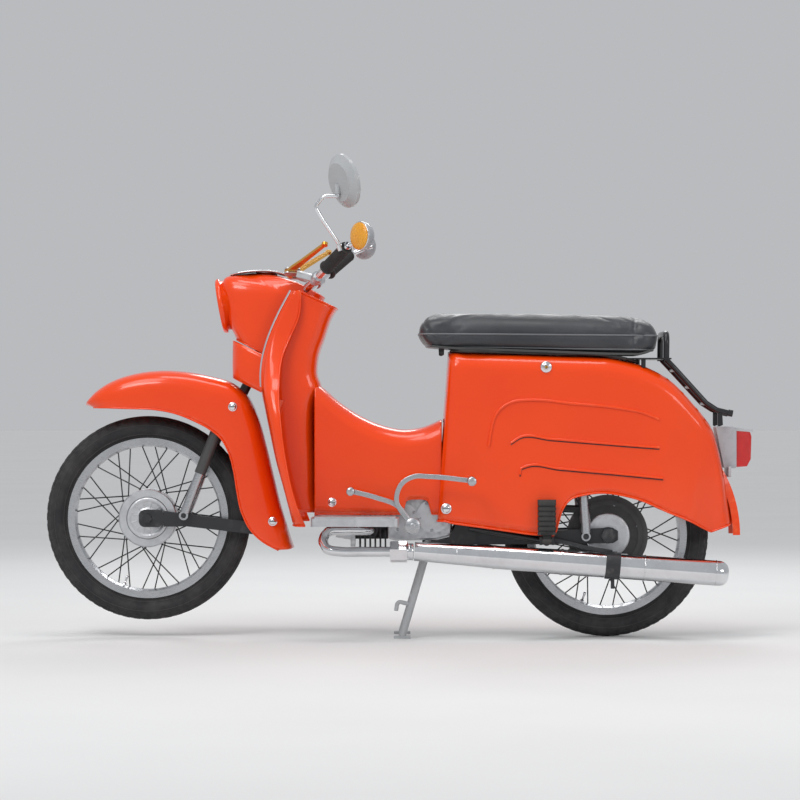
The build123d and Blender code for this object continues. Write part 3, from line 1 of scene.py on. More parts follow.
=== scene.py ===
"""A moped scooter on its centre stand: pressed orange bodywork, long bench seat, spoked wheels.
Everything is in metres in the CAD frame: the front towards -X, the left side towards -Y, +Z up.
Lengths in the tables and helpers below are millimetres."""

import json
from math import cos, pi, radians, sin

import bmesh
import bpy
import numpy as np
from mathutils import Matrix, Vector


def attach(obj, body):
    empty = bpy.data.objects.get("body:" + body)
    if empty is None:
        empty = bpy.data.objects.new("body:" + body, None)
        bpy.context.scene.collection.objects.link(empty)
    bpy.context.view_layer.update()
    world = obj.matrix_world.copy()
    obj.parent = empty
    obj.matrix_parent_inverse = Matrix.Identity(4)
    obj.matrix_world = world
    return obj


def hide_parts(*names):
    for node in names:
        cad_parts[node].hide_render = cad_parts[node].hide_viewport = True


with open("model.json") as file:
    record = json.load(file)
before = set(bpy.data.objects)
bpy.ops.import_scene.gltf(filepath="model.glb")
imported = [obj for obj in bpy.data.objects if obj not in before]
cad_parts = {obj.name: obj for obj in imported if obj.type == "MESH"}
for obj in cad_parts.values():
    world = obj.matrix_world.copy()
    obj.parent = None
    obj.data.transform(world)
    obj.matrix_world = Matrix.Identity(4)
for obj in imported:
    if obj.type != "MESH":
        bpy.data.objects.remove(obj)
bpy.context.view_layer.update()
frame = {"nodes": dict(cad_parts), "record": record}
NODES = frame["nodes"]
MM = 0.001
RAKE = radians(27.0)
STEERING_MARK = (-286, 896)
FRONT_AXLE, REAR_AXLE = (-664, 314), (549, 270)
LEVER_HUB = (35, 299)
SILENCER_Y = -142
SIDES = ((-1, "l"), (1, "r"))


# ---- materials
def tune(node, **values):
    """Sets a node's inputs by name, with _ for each space."""
    for name, value in values.items():
        node.inputs[name.replace("_", " ")].default_value = value
    return node


def wire(tree, source, node, name):
    tree.links.new(source, node.inputs[name])


def new_material(name, colour, rough, metallic=0.0):
    """A Principled material, with its tree, shader and object coordinates."""
    mat = bpy.data.materials.new(name)
    mat.use_nodes = True
    tree = mat.node_tree
    shader = tree.nodes["Principled BSDF"]
    tune(shader, Base_Color=(*colour, 1), Roughness=rough, Metallic=metallic)
    coords = tree.nodes.new("ShaderNodeTexCoord")
    return mat, tree, shader, coords


def noise(tree, coords, scale, detail=4.0, rough=0.5):
    node = tune(tree.nodes.new("ShaderNodeTexNoise"), Scale=scale, Detail=detail, Roughness=rough)
    wire(tree, coords.outputs["Object"], node, "Vector")
    return node.outputs["Fac"]


def spread(tree, source, low, high, start=0.35, end=0.65):
    """Maps start..end of a socket onto low..high."""
    node = tune(tree.nodes.new("ShaderNodeMapRange"), From_Min=start, From_Max=end, To_Min=low, To_Max=high)
    wire(tree, source, node, "Value")
    return node.outputs["Result"]


def mix(tree, factor, a, b, blend="MIX"):
    node = tree.nodes.new("ShaderNodeMix")
    node.data_type = "RGBA"
    node.blend_type = blend
    for value, socket in ((factor, node.inputs[0]), (a, node.inputs[6]), (b, node.inputs[7])):
        if isinstance(value, bpy.types.NodeSocket):
            tree.links.new(value, socket)
        elif isinstance(value, (int, float)):
            socket.default_value = value
        else:
            socket.default_value = (*value, 1)
    return node.outputs[2]


def bump(tree, shader, layers):
    """Layers of (height socket, strength, distance in metres), stacked."""
    last = None
    for height, strength, distance in layers:
        node = tune(tree.nodes.new("ShaderNodeBump"), Strength=strength, Distance=distance)
        wire(tree, height, node, "Height")
        if last is not None:
            wire(tree, last, node, "Normal")
        last = node.outputs["Normal"]
    wire(tree, last, shader, "Normal")


def edge_wear(tree, low=0.52, high=0.6):
    """1 along sharp outer edges, 0 elsewhere."""
    node = tree.nodes.new("ShaderNodeNewGeometry")
    return spread(tree, node.outputs["Pointiness"], 0.0, 1.0, low, high)


def paint(name, colour, deep, worn, rough, coat, grain=0.05):
    """Sprayed enamel: a little unevenness in the colour, orange peel, edges rubbed a little lighter."""
    mat, tree, shader, coords = new_material(name, colour, rough)
    broad = spread(tree, noise(tree, coords, 3.5, 3), 0.0, 1.0, 0.3, 0.7)
    body = mix(tree, broad, colour, deep)
    specks = spread(tree, noise(tree, coords, 240.0, 5, 0.6), 0.0, 0.16, 0.58, 0.78)
    aged = mix(tree, specks, body, tuple(c * 0.82 for c in colour))
    wear = tree.nodes.new("ShaderNodeMath")
    wear.operation = "MULTIPLY"
    tree.links.new(edge_wear(tree), wear.inputs[0])
    tree.links.new(spread(tree, noise(tree, coords, 55.0, 5), 0.0, 0.5, 0.5, 0.75), wear.inputs[1])
    wire(tree, mix(tree, wear.outputs[0], aged, worn), shader, "Base Color")
    smudge = spread(tree, noise(tree, coords, 11.0, 5, 0.55), rough * 0.85, rough * 1.2, 0.3, 0.75)
    wire(tree, smudge, shader, "Roughness")
    tune(shader, Coat_Weight=coat, Coat_Roughness=0.06, Specular_IOR_Level=0.32)
    bump(tree, shader, [(noise(tree, coords, 420.0, 2), grain, 0.0004),
                        (noise(tree, coords, 9.0, 2), 0.04, 0.004)])
    return mat


def metal(name, colour, rough, brushed=0.0, cast=0.0, dirt=0.25):
    """Plated, drawn or cast metal with dull patches and uneven polish."""
    mat, tree, shader, coords = new_material(name, colour, rough, 1.0)
    dull = spread(tree, noise(tree, coords, 14.0, 7, 0.7), 0.0, dirt, 0.45, 0.8)
    wire(tree, mix(tree, dull, colour, tuple(c * 0.55 for c in colour)), shader, "Base Color")
    stretch = tune(tree.nodes.new("ShaderNodeMapping"), Scale=(1.0, 1.0, 14.0 if brushed else 1.0))
    wire(tree, coords.outputs["Object"], stretch, "Vector")
    lines = tune(tree.nodes.new("ShaderNodeTexNoise"), Scale=90.0, Detail=5.0)
    wire(tree, stretch.outputs["Vector"], lines, "Vector")
    rougher = spread(tree, lines.outputs["Fac"], rough * 0.8, rough * 1.5 + 0.02, 0.35, 0.65)
    wire(tree, rougher, shader, "Roughness")
    layers = [(lines.outputs["Fac"], 0.04 + brushed * 0.2, 0.0003)]
    if cast:
        layers.append((noise(tree, coords, 900.0, 3), cast, 0.0004))
    bump(tree, shader, layers)
    return mat


def rubber(name, colour, dusty, rough=0.72, grain=0.25, scale=700.0):
    """Black rubber, dusty in patches and along its edges."""
    mat, tree, shader, coords = new_material(name, colour, rough)
    dust = spread(tree, noise(tree, coords, 16.0, 8, 0.7), 0.0, 0.55, 0.42, 0.72)
    tone = mix(tree, dust, colour, dusty)
    wire(tree, mix(tree, edge_wear(tree, 0.51, 0.6), tone, dusty), shader, "Base Color")
    wire(tree, spread(tree, noise(tree, coords, 40.0, 5), rough - 0.12, rough + 0.1), shader, "Roughness")
    tune(shader, Specular_IOR_Level=0.35)
    bump(tree, shader, [(noise(tree, coords, scale, 4, 0.6), grain, 0.0005)])
    return mat


def vinyl(name, colour, light):
    """Seat vinyl: pebbled grain, soft sheen, rubbed lighter where it is sat on."""
    mat, tree, shader, coords = new_material(name, colour, 0.42)
    cells = tune(tree.nodes.new("ShaderNodeTexVoronoi"), Scale=420.0, Randomness=0.9)
    wire(tree, coords.outputs["Object"], cells, "Vector")
    worn = spread(tree, noise(tree, coords, 7.0, 5), 0.0, 0.6, 0.4, 0.7)
    tone = mix(tree, worn, colour, light)
    grainy = spread(tree, cells.outputs["Distance"], 0.0, 0.45, 0.25, 0.75)
    deep = mix(tree, grainy, tone, tuple(c * 0.6 for c in colour))
    wire(tree, mix(tree, edge_wear(tree, 0.51, 0.58), deep, light), shader, "Base Color")
    wire(tree, spread(tree, noise(tree, coords, 24.0, 6), 0.34, 0.52), shader, "Roughness")
    tune(shader, Sheen_Weight=0.12, Sheen_Roughness=0.45)
    bump(tree, shader, [(cells.outputs["Distance"], 0.32, 0.0006),
                        (noise(tree, coords, 32.0, 4), 0.12, 0.003)])
    return mat


def lens_plastic(name, colour, deep, through, ribs=260.0, axis="Z", rough=0.12):
    """Lens or lamp glass with fine moulded ribs across one axis."""
    mat, tree, shader, coords = new_material(name, colour, rough)
    wave = tune(tree.nodes.new("ShaderNodeTexWave"), Scale=ribs, Distortion=0.0)
    wave.bands_direction = axis
    wire(tree, coords.outputs["Object"], wave, "Vector")
    tone = spread(tree, noise(tree, coords, 30.0, 3), 0.0, 0.5, 0.3, 0.7)
    lines = mix(tree, spread(tree, wave.outputs["Fac"], 0.0, 0.5, 0.2, 0.9), colour, deep)
    wire(tree, mix(tree, tone, lines, deep), shader, "Base Color")
    tune(shader, Transmission_Weight=through, IOR=1.49, Coat_Weight=0.5)
    bump(tree, shader, [(wave.outputs["Fac"], 0.35, 0.0008)])
    return mat


def moulded(name, colour, light, rough=0.4, grain=0.18):
    """Moulded plastic with a fine grain, lighter where it is handled."""
    mat, tree, shader, coords = new_material(name, colour, rough)
    tone = spread(tree, noise(tree, coords, 20.0, 6, 0.7), 0.0, 0.6, 0.4, 0.75)
    wire(tree, mix(tree, edge_wear(tree, 0.51, 0.6), mix(tree, tone, colour, light), light), shader, "Base Color")
    wire(tree, spread(tree, noise(tree, coords, 60.0, 4), rough - 0.08, rough + 0.1), shader, "Roughness")
    bump(tree, shader, [(noise(tree, coords, 800.0, 3), grain, 0.0004)])
    return mat


FINISH = {
    "body_paint": paint("orange_enamel", (0.91, 0.066, 0.002), (0.86, 0.056, 0.002), (0.96, 0.24, 0.07),
                        0.22, 0.5, 0.025),
    "frame_paint": paint("black_enamel", (0.018, 0.018, 0.02), (0.012, 0.012, 0.014), (0.12, 0.11, 0.10),
                         0.32, 0.35),
    "arm_paint": paint("grey_enamel", (0.035, 0.036, 0.04), (0.022, 0.023, 0.026), (0.16, 0.155, 0.15),
                       0.38, 0.3),
    "silver_paint": paint("silver_enamel", (0.46, 0.47, 0.48), (0.38, 0.39, 0.40), (0.60, 0.60, 0.60),
                          0.36, 0.3),
    "chrome": metal("chrome_plate", (0.78, 0.79, 0.81), 0.09, dirt=0.35),
    "steel": metal("drawn_steel", (0.50, 0.51, 0.53), 0.28, brushed=0.5, dirt=0.4),
    "alloy": metal("cast_alloy", (0.62, 0.63, 0.65), 0.38, cast=0.35, dirt=0.5),
    "iron": metal("cast_iron", (0.10, 0.10, 0.105), 0.6, cast=0.6, dirt=0.6),
    "tyre": rubber("tyre_rubber", (0.022, 0.022, 0.024), (0.075, 0.072, 0.068), 0.74),
    "rubber": rubber("moulded_rubber", (0.016, 0.016, 0.017), (0.055, 0.053, 0.05), 0.66, 0.3, 900.0),
    "seat_cover": vinyl("seat_vinyl", (0.030, 0.032, 0.037), (0.060, 0.063, 0.070)),
    "black_plastic": moulded("black_plastic", (0.018, 0.018, 0.019), (0.06, 0.06, 0.06)),
    "grey_plastic": moulded("grey_plastic", (0.30, 0.31, 0.33), (0.46, 0.47, 0.49), 0.28),
    "lever_metal": metal("gold_alloy", (0.86, 0.44, 0.08), 0.26, brushed=0.3, dirt=0.25),
    "amber": lens_plastic("amber_lens", (1.0, 0.47, 0.02), (0.86, 0.30, 0.01), 0.15),
    "red_lens": lens_plastic("red_lens", (0.78, 0.014, 0.012), (0.42, 0.004, 0.004), 0.15, 200.0),
    "lamp_glass": lens_plastic("fluted_glass", (0.90, 0.92, 0.94), (0.78, 0.80, 0.83), 0.75, 190.0, "Y", 0.04),
    "mirror": metal("silvered_glass", (0.86, 0.87, 0.89), 0.03, dirt=0.06),
}
PIPING = vinyl("seat_piping", (0.10, 0.105, 0.115), (0.17, 0.175, 0.185))


# ---- geometry helpers
def smooth_line(points, count):
    """A smooth curve through points of any dimension, sampled at even steps of its length."""
    p = np.array(points, float)
    t = np.concatenate([[0.0], np.cumsum(np.linalg.norm(np.diff(p, axis=0), axis=1))])
    slope = np.empty_like(p)
    step = np.diff(t)[:, None]
    chord = np.diff(p, axis=0) / step
    slope[0], slope[-1] = chord[0], chord[-1]
    slope[1:-1] = (chord[:-1] * step[1:] + chord[1:] * step[:-1]) / (step[1:] + step[:-1])
    out = []
    for s in np.linspace(0, t[-1], count):
        i = min(int(np.searchsorted(t, s, side="right")) - 1, len(t) - 2)
        h = t[i + 1] - t[i]
        u = (s - t[i]) / h
        out.append((2 * u**3 - 3 * u**2 + 1) * p[i] + (u**3 - 2 * u**2 + u) * h * slope[i]
                   + (3 * u**2 - 2 * u**3) * p[i + 1] + (u**3 - u**2) * h * slope[i + 1])
    return np.array(out)


def steer(t, d, y=0.0):
    """A point t up the steering axis from its top mark and d behind it."""
    x, z = STEERING_MARK
    return (x + t * sin(RAKE) + d * cos(RAKE), y, z + t * cos(RAKE) - d * sin(RAKE))


def add(name, data):
    obj = bpy.data.objects.new(name, data)
    bpy.context.scene.collection.objects.link(obj)
    return obj


def make_mesh(name, verts, faces, smooth=True):
    mesh = bpy.data.meshes.new(name)
    mesh.from_pydata([Vector(v) * MM for v in verts], [], faces)
    mesh.validate()
    for poly in mesh.polygons:
        poly.use_smooth = smooth
    return add(name, mesh)


def grid(name, rows, wrap=False, ring=False, caps=False, flip=False):
    """A surface over rows of equally many points. wrap closes each row, ring joins the last row to the
    first, caps fills the end rows."""
    n, m = len(rows[0]), len(rows)
    faces = []
    for i in range(m if ring else m - 1):
        after = (i + 1) % m
        for j in range(n if wrap else n - 1):
            k = (j + 1) % n
            faces.append((i * n + j, i * n + k, after * n + k, after * n + j))
    if caps:
        faces += [tuple(range(n))[::-1], tuple(range((m - 1) * n, m * n))]
    if flip:
        faces = [face[::-1] for face in faces]
    return make_mesh(name, [tuple(p) for row in rows for p in row], faces)


def outward(obj):
    work = bmesh.new()
    work.from_mesh(obj.data)
    bmesh.ops.recalc_face_normals(work, faces=work.faces)
    work.to_mesh(obj.data)
    work.free()
    return obj


def thicken(obj, sheet=2.0, offset=-1.0):
    """Gives a surface its sheet thickness, inwards unless offset says otherwise."""
    skin = obj.modifiers.new("skin", "SOLIDIFY")
    skin.thickness = sheet * MM
    skin.offset = offset
    return obj


def dress(obj, body, slot, *nodes, material=None):
    """Gives a piece the finish of its slot, or the material passed in, and its body, and hides the CAD nodes it
    replaces.
    """
    obj.data.materials.clear()
    obj.data.materials.append(material or FINISH[slot])
    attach(obj, body)
    if nodes:
        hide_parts(*nodes)
    return obj


def panel(name, rows, *nodes, body="frame", sheet=2.0, flip=False):
    """A painted pressing over rows of points."""
    return dress(thicken(grid(name, rows, flip=flip), sheet), body, "body_paint", *nodes)


def tube(name, points, radius, closed=False, sides=6, count=0, taper=None):
    """A round bead or rod along points. count resamples them smoothly, taper scales the radius along it."""
    if count:
        points = smooth_line(points, count)
    data = bpy.data.curves.new(name, "CURVE")
    data.dimensions = "3D"
    line = data.splines.new("POLY")
    line.points.add(len(points) - 1)
    for i, (target, p) in enumerate(zip(line.points, points)):
        target.co = (p[0] * MM, p[1] * MM, p[2] * MM, 1)
        if taper:
            target.radius = taper[0] + (taper[1] - taper[0]) * i / (len(points) - 1)
    line.use_cyclic_u = closed
    line.use_smooth = True
    data.bevel_depth = radius * MM
    data.bevel_resolution = sides
    data.use_fill_caps = True
    return add(name, data)


def hem(name, points, radius, body="frame", closed=False):
    """A painted rolled edge or rib."""
    dress(tube(name, points, radius, closed=closed), body, "body_paint")


def ring_points(centre, axis, radius, count=64):
    axis = Vector(axis).normalized()
    side = axis.orthogonal().normalized()
    up = axis.cross(side)
    return [centre + (side * cos(2 * pi * k / count) + up * sin(2 * pi * k / count)) * radius
            for k in range(count)]


def lathe(name, profile, centre, axis, steps=48, caps=False):
    """Profile of (radius, along) turned about an axis through centre."""
    centre, along = Vector(centre), Vector(axis).normalized()
    rows = [ring_points(centre + along * a, axis, r, steps) for r, a in profile]
    return outward(grid(name, rows, wrap=True, caps=caps))


def turned(name, centre, axis, radius, length, chamfer=1.5):
    """A plain turned piece from centre along axis, both ends closed and chamfered."""
    return lathe(name, [(0.3, 0), (radius - chamfer, 0), (radius, chamfer), (radius, length - chamfer),
                        (radius - chamfer, length), (0.3, length)], centre, axis)


def bent_bar(name, bends, y, width, sheet):
    """A flat bar in the side-view plane at y, along its bends."""
    line = smooth_line(bends, 48)
    rows = []
    for i, (x, z) in enumerate(line):
        ahead = Vector(line[min(i + 1, 47)] - line[max(i - 1, 0)]).normalized()
        rows.append([(x - ahead.y * w, y, z + ahead.x * w) for w in np.linspace(-width / 2, width / 2, 5)])
    bar = thicken(grid(name, rows), sheet, 0.0)
    edge = bar.modifiers.new("edge", "BEVEL")
    edge.width, edge.segments = 1.8 * MM, 3
    return bar


def slot_shade_bar(name, x, y, z, out, half, reach, body):
    """A black bar of painted shade that stands for the dark inside of a slot: half its (length, height), from
    reach[0] to reach[1] along out.
    """
    verts = [(x + a * half[0], y + out * h, z + b * half[1])
             for h in reach for a, b in ((-1, -1), (1, -1), (1, 1), (-1, 1))]
    faces = [(0, 1, 2, 3), (4, 7, 6, 5)] + [(k, k + 4, (k + 1) % 4 + 4, (k + 1) % 4) for k in range(4)]
    dress(make_mesh(name, verts, faces, False), body, "frame_paint")


def cap_bolt(name, x, y, z, radius, body="frame"):
    """Domed screw head with its slot drawn as a black bar of painted shade, its washer against the panel."""
    out = 1 if y > 0 else -1
    dome = ((0.3, 5.2), (0.55, 4.4), (0.72, 3.0), (0.76, 1.6), (0.80, 1.4), (0.96, 1.2), (1, 0.6), (1, -0.5))
    profile = [(0.3, 5.4)] + [(radius * share, height) for share, height in dome]
    dress(lathe(name, profile, (x, y, z), (0, out, 0), 32), body, "chrome")
    slot_shade_bar(name + "_slot", x, y, z, out, (0.62 * radius, 0.9), (4.0, 5.6), body)


def rounded_half(half_width, radius, crown, bends, depth, walls, tuck=0.0, power=2):
    """Half a pressed section as (sideways, down): a nearly flat crown whose three heights are given, a
    rounded shoulder of so many bends, then a wall down to depth that tucks in at its foot."""
    flat, edge = half_width - radius, crown[2]
    half = [(0, 0), (flat * 0.35, crown[0]), (flat * 0.7, crown[1]), (flat, edge)]
    for k in range(1, bends + 1):
        a = pi / 2 * k / bends
        half.append((flat + radius * sin(a), edge + (radius - edge) * (1 - cos(a))))
    return half + [(half_width - tuck * (k / walls) ** power, radius + (depth - radius) * k / walls)
                   for k in range(1, walls + 1)]


def mirrored(half):
    return [(-y, f) for y, f in reversed(half)] + half[1:]


def hang(px, pz, qx, qz, half_section):
    """A row across a pressing, from its crown at p towards its edge at q. half_section gives half the
    section for a depth."""
    p, q = Vector((px, 0, pz)), Vector((qx, 0, qz))
    down = (q - p).normalized()
    return [p + down * f + Vector((0, y, 0)) for y, f in mirrored(half_section((q - p).length))]


# ---- front mudguard
FENDER_STATIONS = [
    (-828, 621, -806, 606, 40), (-806, 645, -789, 606, 62), (-779, 665, -770, 606, 73),
    (-745, 682, -744, 605, 81), (-705, 694, -712, 604, 85.5), (-626, 704, -640, 601, 90),
    (-558, 700, -585, 590, 90), (-499, 689, -540, 572, 90), (-440, 671, -500, 551, 90),
    (-398, 634, -468, 525, 90), (-373, 580, -449, 492, 90), (-350, 500, -434, 440, 90),
    (-332, 425, -424, 378, 90), (-311, 340, -411, 325, 90), (-294, 285, -388, 282, 90),
    (-282, 246, -352, 250, 90), (-278, 236, -318, 232, 90)]
PRESSED_SIDE = [(0, 0), (0.3, 0.6), (0.55, 3), (0.75, 9), (0.9, 20), (0.975, 34), (1.0, 52)]


def fender_half(h, depth):
    """Half the mudguard's section from the crown to its lower edge, as (sideways, down)."""
    scale = min(1.0, depth / 74.0)
    arc = smooth_line([(share * h, f * scale) for share, f in PRESSED_SIDE], 15)
    wall = [(h - 1.5 * (i / 7) ** 2, 52 * scale + (depth - 52 * scale) * i / 7) for i in range(1, 8)]
    return [tuple(a) for a in arc] + wall


def make_front_fender():
    rows = [hang(*ends, lambda depth: fender_half(h, depth)) for *ends, h in smooth_line(FENDER_STATIONS, 74)]
    nose = [[(v.x - 2.5 + 3 * k, v.y * (0.35 + 0.65 * k), 606 + (v.z - 606) * (0.45 + 0.55 * k))
             for v in rows[0]] for k in (0.0, 0.45, 0.8)]
    panel("front_mudguard", nose + rows, "front_fender", body="steering", sheet=2.2, flip=True)
    edge = [row[0] for row in rows] + [row[-1] for row in reversed(rows)]
    hem("front_mudguard_hem", edge, 2.4, "steering", True)
    for s, letter in SIDES:
        for i, (x, z) in enumerate(((-437, 608), (-332, 307))):
            cap_bolt(f"mudguard_bolt_{letter}{i}", x, s * 89.5, z, 12, "steering")


# ---- lamp shell and its top
LAMP_SLICES = [(-163.6, -79), (-152, -93), (-142, -107), (-121, -127), (-98.6, -145), (-76, -163),
               (-57.7, -176),
               (-44, -181), (-31.8, -180), (-18, -167), (-7.9, -152), (5, -132), (15.2, -115.5), (26, -92),
               (34, -70), (39, -44), (41.0, -26.3)]


def make_lamp_shell():
    rows = []
    for t, front in smooth_line(LAMP_SLICES, 44):
        power = 2 + 2.4 * max(0.0, 1 - ((t + 92) / 95) ** 2)
        row = []
        for k in range(64):
            c, s = cos(2 * pi * k / 64), sin(2 * pi * k / 64)
            if c >= 0:
                y, d = 80 * s, 80 * c
            else:
                y = 80 * (1 if s > 0 else -1) * abs(s) ** (2 / power)
                d = front * abs(c) ** (2 / power)
            row.append(steer(t, d, y))
        rows.append(row)
    top = rows[-1]
    centre = Vector(steer(43.0, 26, 0))
    for k, lift in ((0.94, 1.5), (0.82, 2.6), (0.55, 3.2), (0.25, 3.4), (0.02, 3.4)):
        rows.append([tuple(centre.lerp(Vector(p), k) + Vector((0, 0, lift))) for p in top])
    shell = grid("lamp_shell", rows, wrap=True, flip=True)
    dress(thicken(outward(shell), 2.0), "steering", "body_paint", "headlamp_housing")
    hem("lamp_shell_hem", rows[0], 2.2, "steering", True)
    # the black dash and the bright strips beside it
    for s, letter in SIDES:
        strip = [(-448, s * 30, 957), (-420, s * 38, 963), (-380, s * 42, 967), (-335, s * 40, 966),
                 (-300, s * 32, 958)]
        dress(tube(f"dash_strip_{letter}", strip, 2.0, count=24), "steering", "chrome")
    dash = smooth_line([(-446, 957.5, 26), (-420, 963.0, 36), (-380, 966.5, 41), (-335, 965.5, 39),
                        (-302, 958.0, 31)], 16)
    rows = [[(x, h * k / 6, z + 1.4 - 3.0 * (k / 6) ** 2) for k in range(-6, 7)] for x, z, h in dash]
    dress(thicken(grid("dash_plate", rows, flip=True), 2.0), "steering", "black_plastic")


def make_headlamp():
    centre = Vector((-463, 0, 876))
    aim = Vector((-0.985, 0, -0.174)).normalized()
    rim = lathe("lamp_rim", [(60.6, 3.0), (60.6, 8.0), (61.5, 11.5), (63.5, 13.6), (66.5, 14.0), (69.6, 12.8),
                             (72.0, 10.0), (73.0, 6.5), (73.0, 3.5), (72.0, 1.5), (70.0, 0.5), (66.0, 0.0),
                             (65.6, -16.0)], centre, aim, 96)
    dress(thicken(rim, 1.0), "steering", "body_paint", "headlamp_rim")
    dress(tube("lamp_retaining_ring", ring_points(centre + aim * 8.2, aim, 59.8), 1.5, closed=True),
          "steering", "chrome")
    bowl = lathe("lamp_reflector", [(9.0, -12.0), (20.0, -10.0), (32.0, -6.5), (44.0, -2.0), (54.0, 2.6),
                                    (60.5, 6.5)], centre, aim, 64, caps=True)
    dress(bowl, "steering", "mirror")
    side = Vector((0, 1, 0))
    up = aim.cross(side)
    pane = 60.4
    rows = []
    for i in range(17):
        r = pane * i / 16
        row = []
        for k in range(120):
            a = 2 * pi * k / 120
            y = r * cos(a)
            flute = 0.45 * abs(sin(y / pane * 11 * pi)) * (1 - (i / 16) ** 8)
            dome = 8.5 + 5.0 * (1 - (r / pane) ** 2)
            row.append(centre + aim * (dome + flute) + side * y + up * (r * sin(a)))
        rows.append(row)
    glass = outward(grid("lamp_glass_pane", rows[::-1], wrap=True))
    dress(thicken(glass, 1.6), "steering", "lamp_glass", "headlamp_lens")
    bulb = lathe("lamp_bulb", [(0.4, 12.0), (4.0, 11.2), (6.5, 8.5), (7.4, 4.5), (6.8, 0.0), (5.2, -4.0),
                               (5.2, -12.0)], centre + aim * -4, aim, 24)
    dress(bulb, "steering", "grey_plastic")


def make_speedometer():
    centre = Vector((-350, 0, 963.0))
    up = Vector((0.02, 0, 1)).normalized()
    bezel = lathe("speedometer_bezel", [(27.2, -6), (27.2, 3.4), (28.0, 4.2), (29.4, 4.4), (30.6, 3.6),
                                        (31.0, 1.8), (31.0, -0.4), (29.5, -1.4)], centre, up, 64)
    dress(thicken(bezel, 0.8), "steering", "chrome", "speedometer")
    face = lathe("speedometer_face", [(0.2, 1.2), (9.0, 1.2), (18.0, 1.1), (27.4, 1.0), (27.4, -4.0)],
                 centre, up)
    dress(face, "steering", "black_plastic")
    across = Vector((0, 1, 0))
    side = up.cross(across).normalized()
    verts = []
    for k in range(17):
        a = radians(220 - 260 * k / 16)
        out = side * sin(a) * -1 + across * cos(a)
        turn = up.cross(out)
        inner, outer, wide = (18.5 if k % 2 == 0 else 21.5), 25.0, 0.55
        verts += [centre + up * 1.5 + out * r + turn * w
                  for r, w in ((inner, -wide), (inner, wide), (outer, wide), (outer, -wide))]
    pointer = side * 0.5 - across * 0.86
    verts += [centre + up * 2.0 + pointer * r + side.cross(up) * w
              for r, w in ((-5, -1.0), (-5, 1.0), (20, 0.3), (20, -0.3))]
    faces = [(k, k + 1, k + 2, k + 3) for k in range(0, len(verts), 4)]
    marks = make_mesh("speedometer_marks", verts, faces, False)
    dress(thicken(marks, 0.3), "steering", "silver_paint")


# ---- leg shield, neck and column
SHIELD_FRONT = [(-284, 914), (-319, 848), (-346, 782), (-361, 716), (-361, 652), (-351, 600), (-339, 543),
                (-323, 469), (-302, 392), (-278, 298)]
SHIELD_REAR = [(-258, 914), (-262, 848), (-283, 795), (-306, 738), (-313, 672), (-308, 578), (-294, 469),
               (-264, 347), (-244, 298)]
SHIELD_OUTLINE = [(116, 914), (117, 850), (122, 790), (138, 735), (168, 685), (205, 640), (228, 585),
                  (235, 500),
                  (235, 400), (228, 330), (208, 298)]
TROUGH = [(-301, 626), (-312, 600), (-320, 545), (-316, 480), (-300, 400), (-279, 302)]


def at_height(points, z):
    """The x of a smooth side-view profile at a height."""
    line = smooth_line(points, 200)
    order = np.argsort(line[:, 1])
    return float(np.interp(z, line[order, 1], line[order, 0]))


def make_leg_shield():
    heights = np.linspace(299, 913, 52)
    for s, letter in SIDES:
        rows = []
        for z in heights:
            front, rear, out = (at_height(line, z) for line in (SHIELD_FRONT, SHIELD_REAR, SHIELD_OUTLINE))
            trough = at_height(TROUGH, min(z, 624))
            inner = 100.0 if z < 628 else 104.0
            depth = max(14.0, rear - front)
            r = min(26.0, 0.62 * depth, 0.5 * (out - inner))
            sweep = min(9.0, 0.25 * depth)
            if z < 628:
                row = [(trough + (front - trough) * k / 3, inner, z) for k in range(4)]
            else:
                row = [(front + 3, inner, z)] * 3 + [(front, inner + 0.4, z)]
            row += [(front + sweep * (k / 8) ** 2, inner + 0.4 + (out - r - inner) * k / 8, z)
                    for k in range(1, 9)]
            start = front + sweep
            for k in range(1, 9):
                a = pi / 2 * k / 8
                row.append((start + r * (1 - cos(a)) + 0.001, out - r + r * sin(a), z))
            row += [(start + r + (rear - start - r) * k / 5, out - 0.8 * (k / 5) ** 2, z) for k in range(1, 6)]
            rows.append([(x, s * y, z) for x, y, z in row])
        panel(f"leg_shield_{letter}", rows, "leg_shield", sheet=2.2, flip=s > 0)
        hem(f"leg_shield_hem_{letter}", [row[-1] for row in rows], 2.4)
        hem(f"leg_shield_sill_{letter}", rows[0], 2.0)
        ridge = [(row[4][0] - 0.4, row[4][1] + s * 2.0, row[4][2]) for row in rows[30:]]
        dress(tube(f"shield_strip_{letter}", ridge, 3.2, sides=4), "frame", "chrome")
    rows = [[(x + 5 * (k / 8) ** 4, 100.5 * k / 8, z) for k in range(-8, 9)]
            for x, z in smooth_line(TROUGH, 26)]
    panel("leg_shield_trough", rows, flip=True)


def make_neck_cover():
    plan = smooth_line([(-352, 98), (-371, 94), (-400, 84), (-422, 70), (-434, 50), (-437, 0), (-434, -50),
                        (-422, -70), (-400, -84), (-371, -94), (-352, -98)], 49)
    rows = []
    for k in range(9):
        u = k / 8
        swell = 1.0 + 0.02 * sin(pi * u)
        row = []
        for x, y in plan:
            w = (x + 437) / 85.0
            low, high = 685 - 42 * w, 783 - 40 * w
            row.append((x + (1 - swell) * 40, y * swell, low + (high - low) * u))
        rows.append(row)
    panel("neck_pressing", rows, "neck_cover", flip=True)
    hem("neck_hem", rows[0], 2.0)


COLUMN_PAIRS = [(-272, 331, -208, 331), (-279, 356, -216, 356), (-293, 415, -218, 415), (-306, 474, -220, 474),
                (-316, 562, -223, 562), (-319, 608, -218, 615), (-322, 640, -205, 655), (-330, 690, -216, 694),
                (-338, 738, -213, 738), (-322, 800, -196, 790), (-300, 850, -180, 838), (-262, 912, -164, 866)]


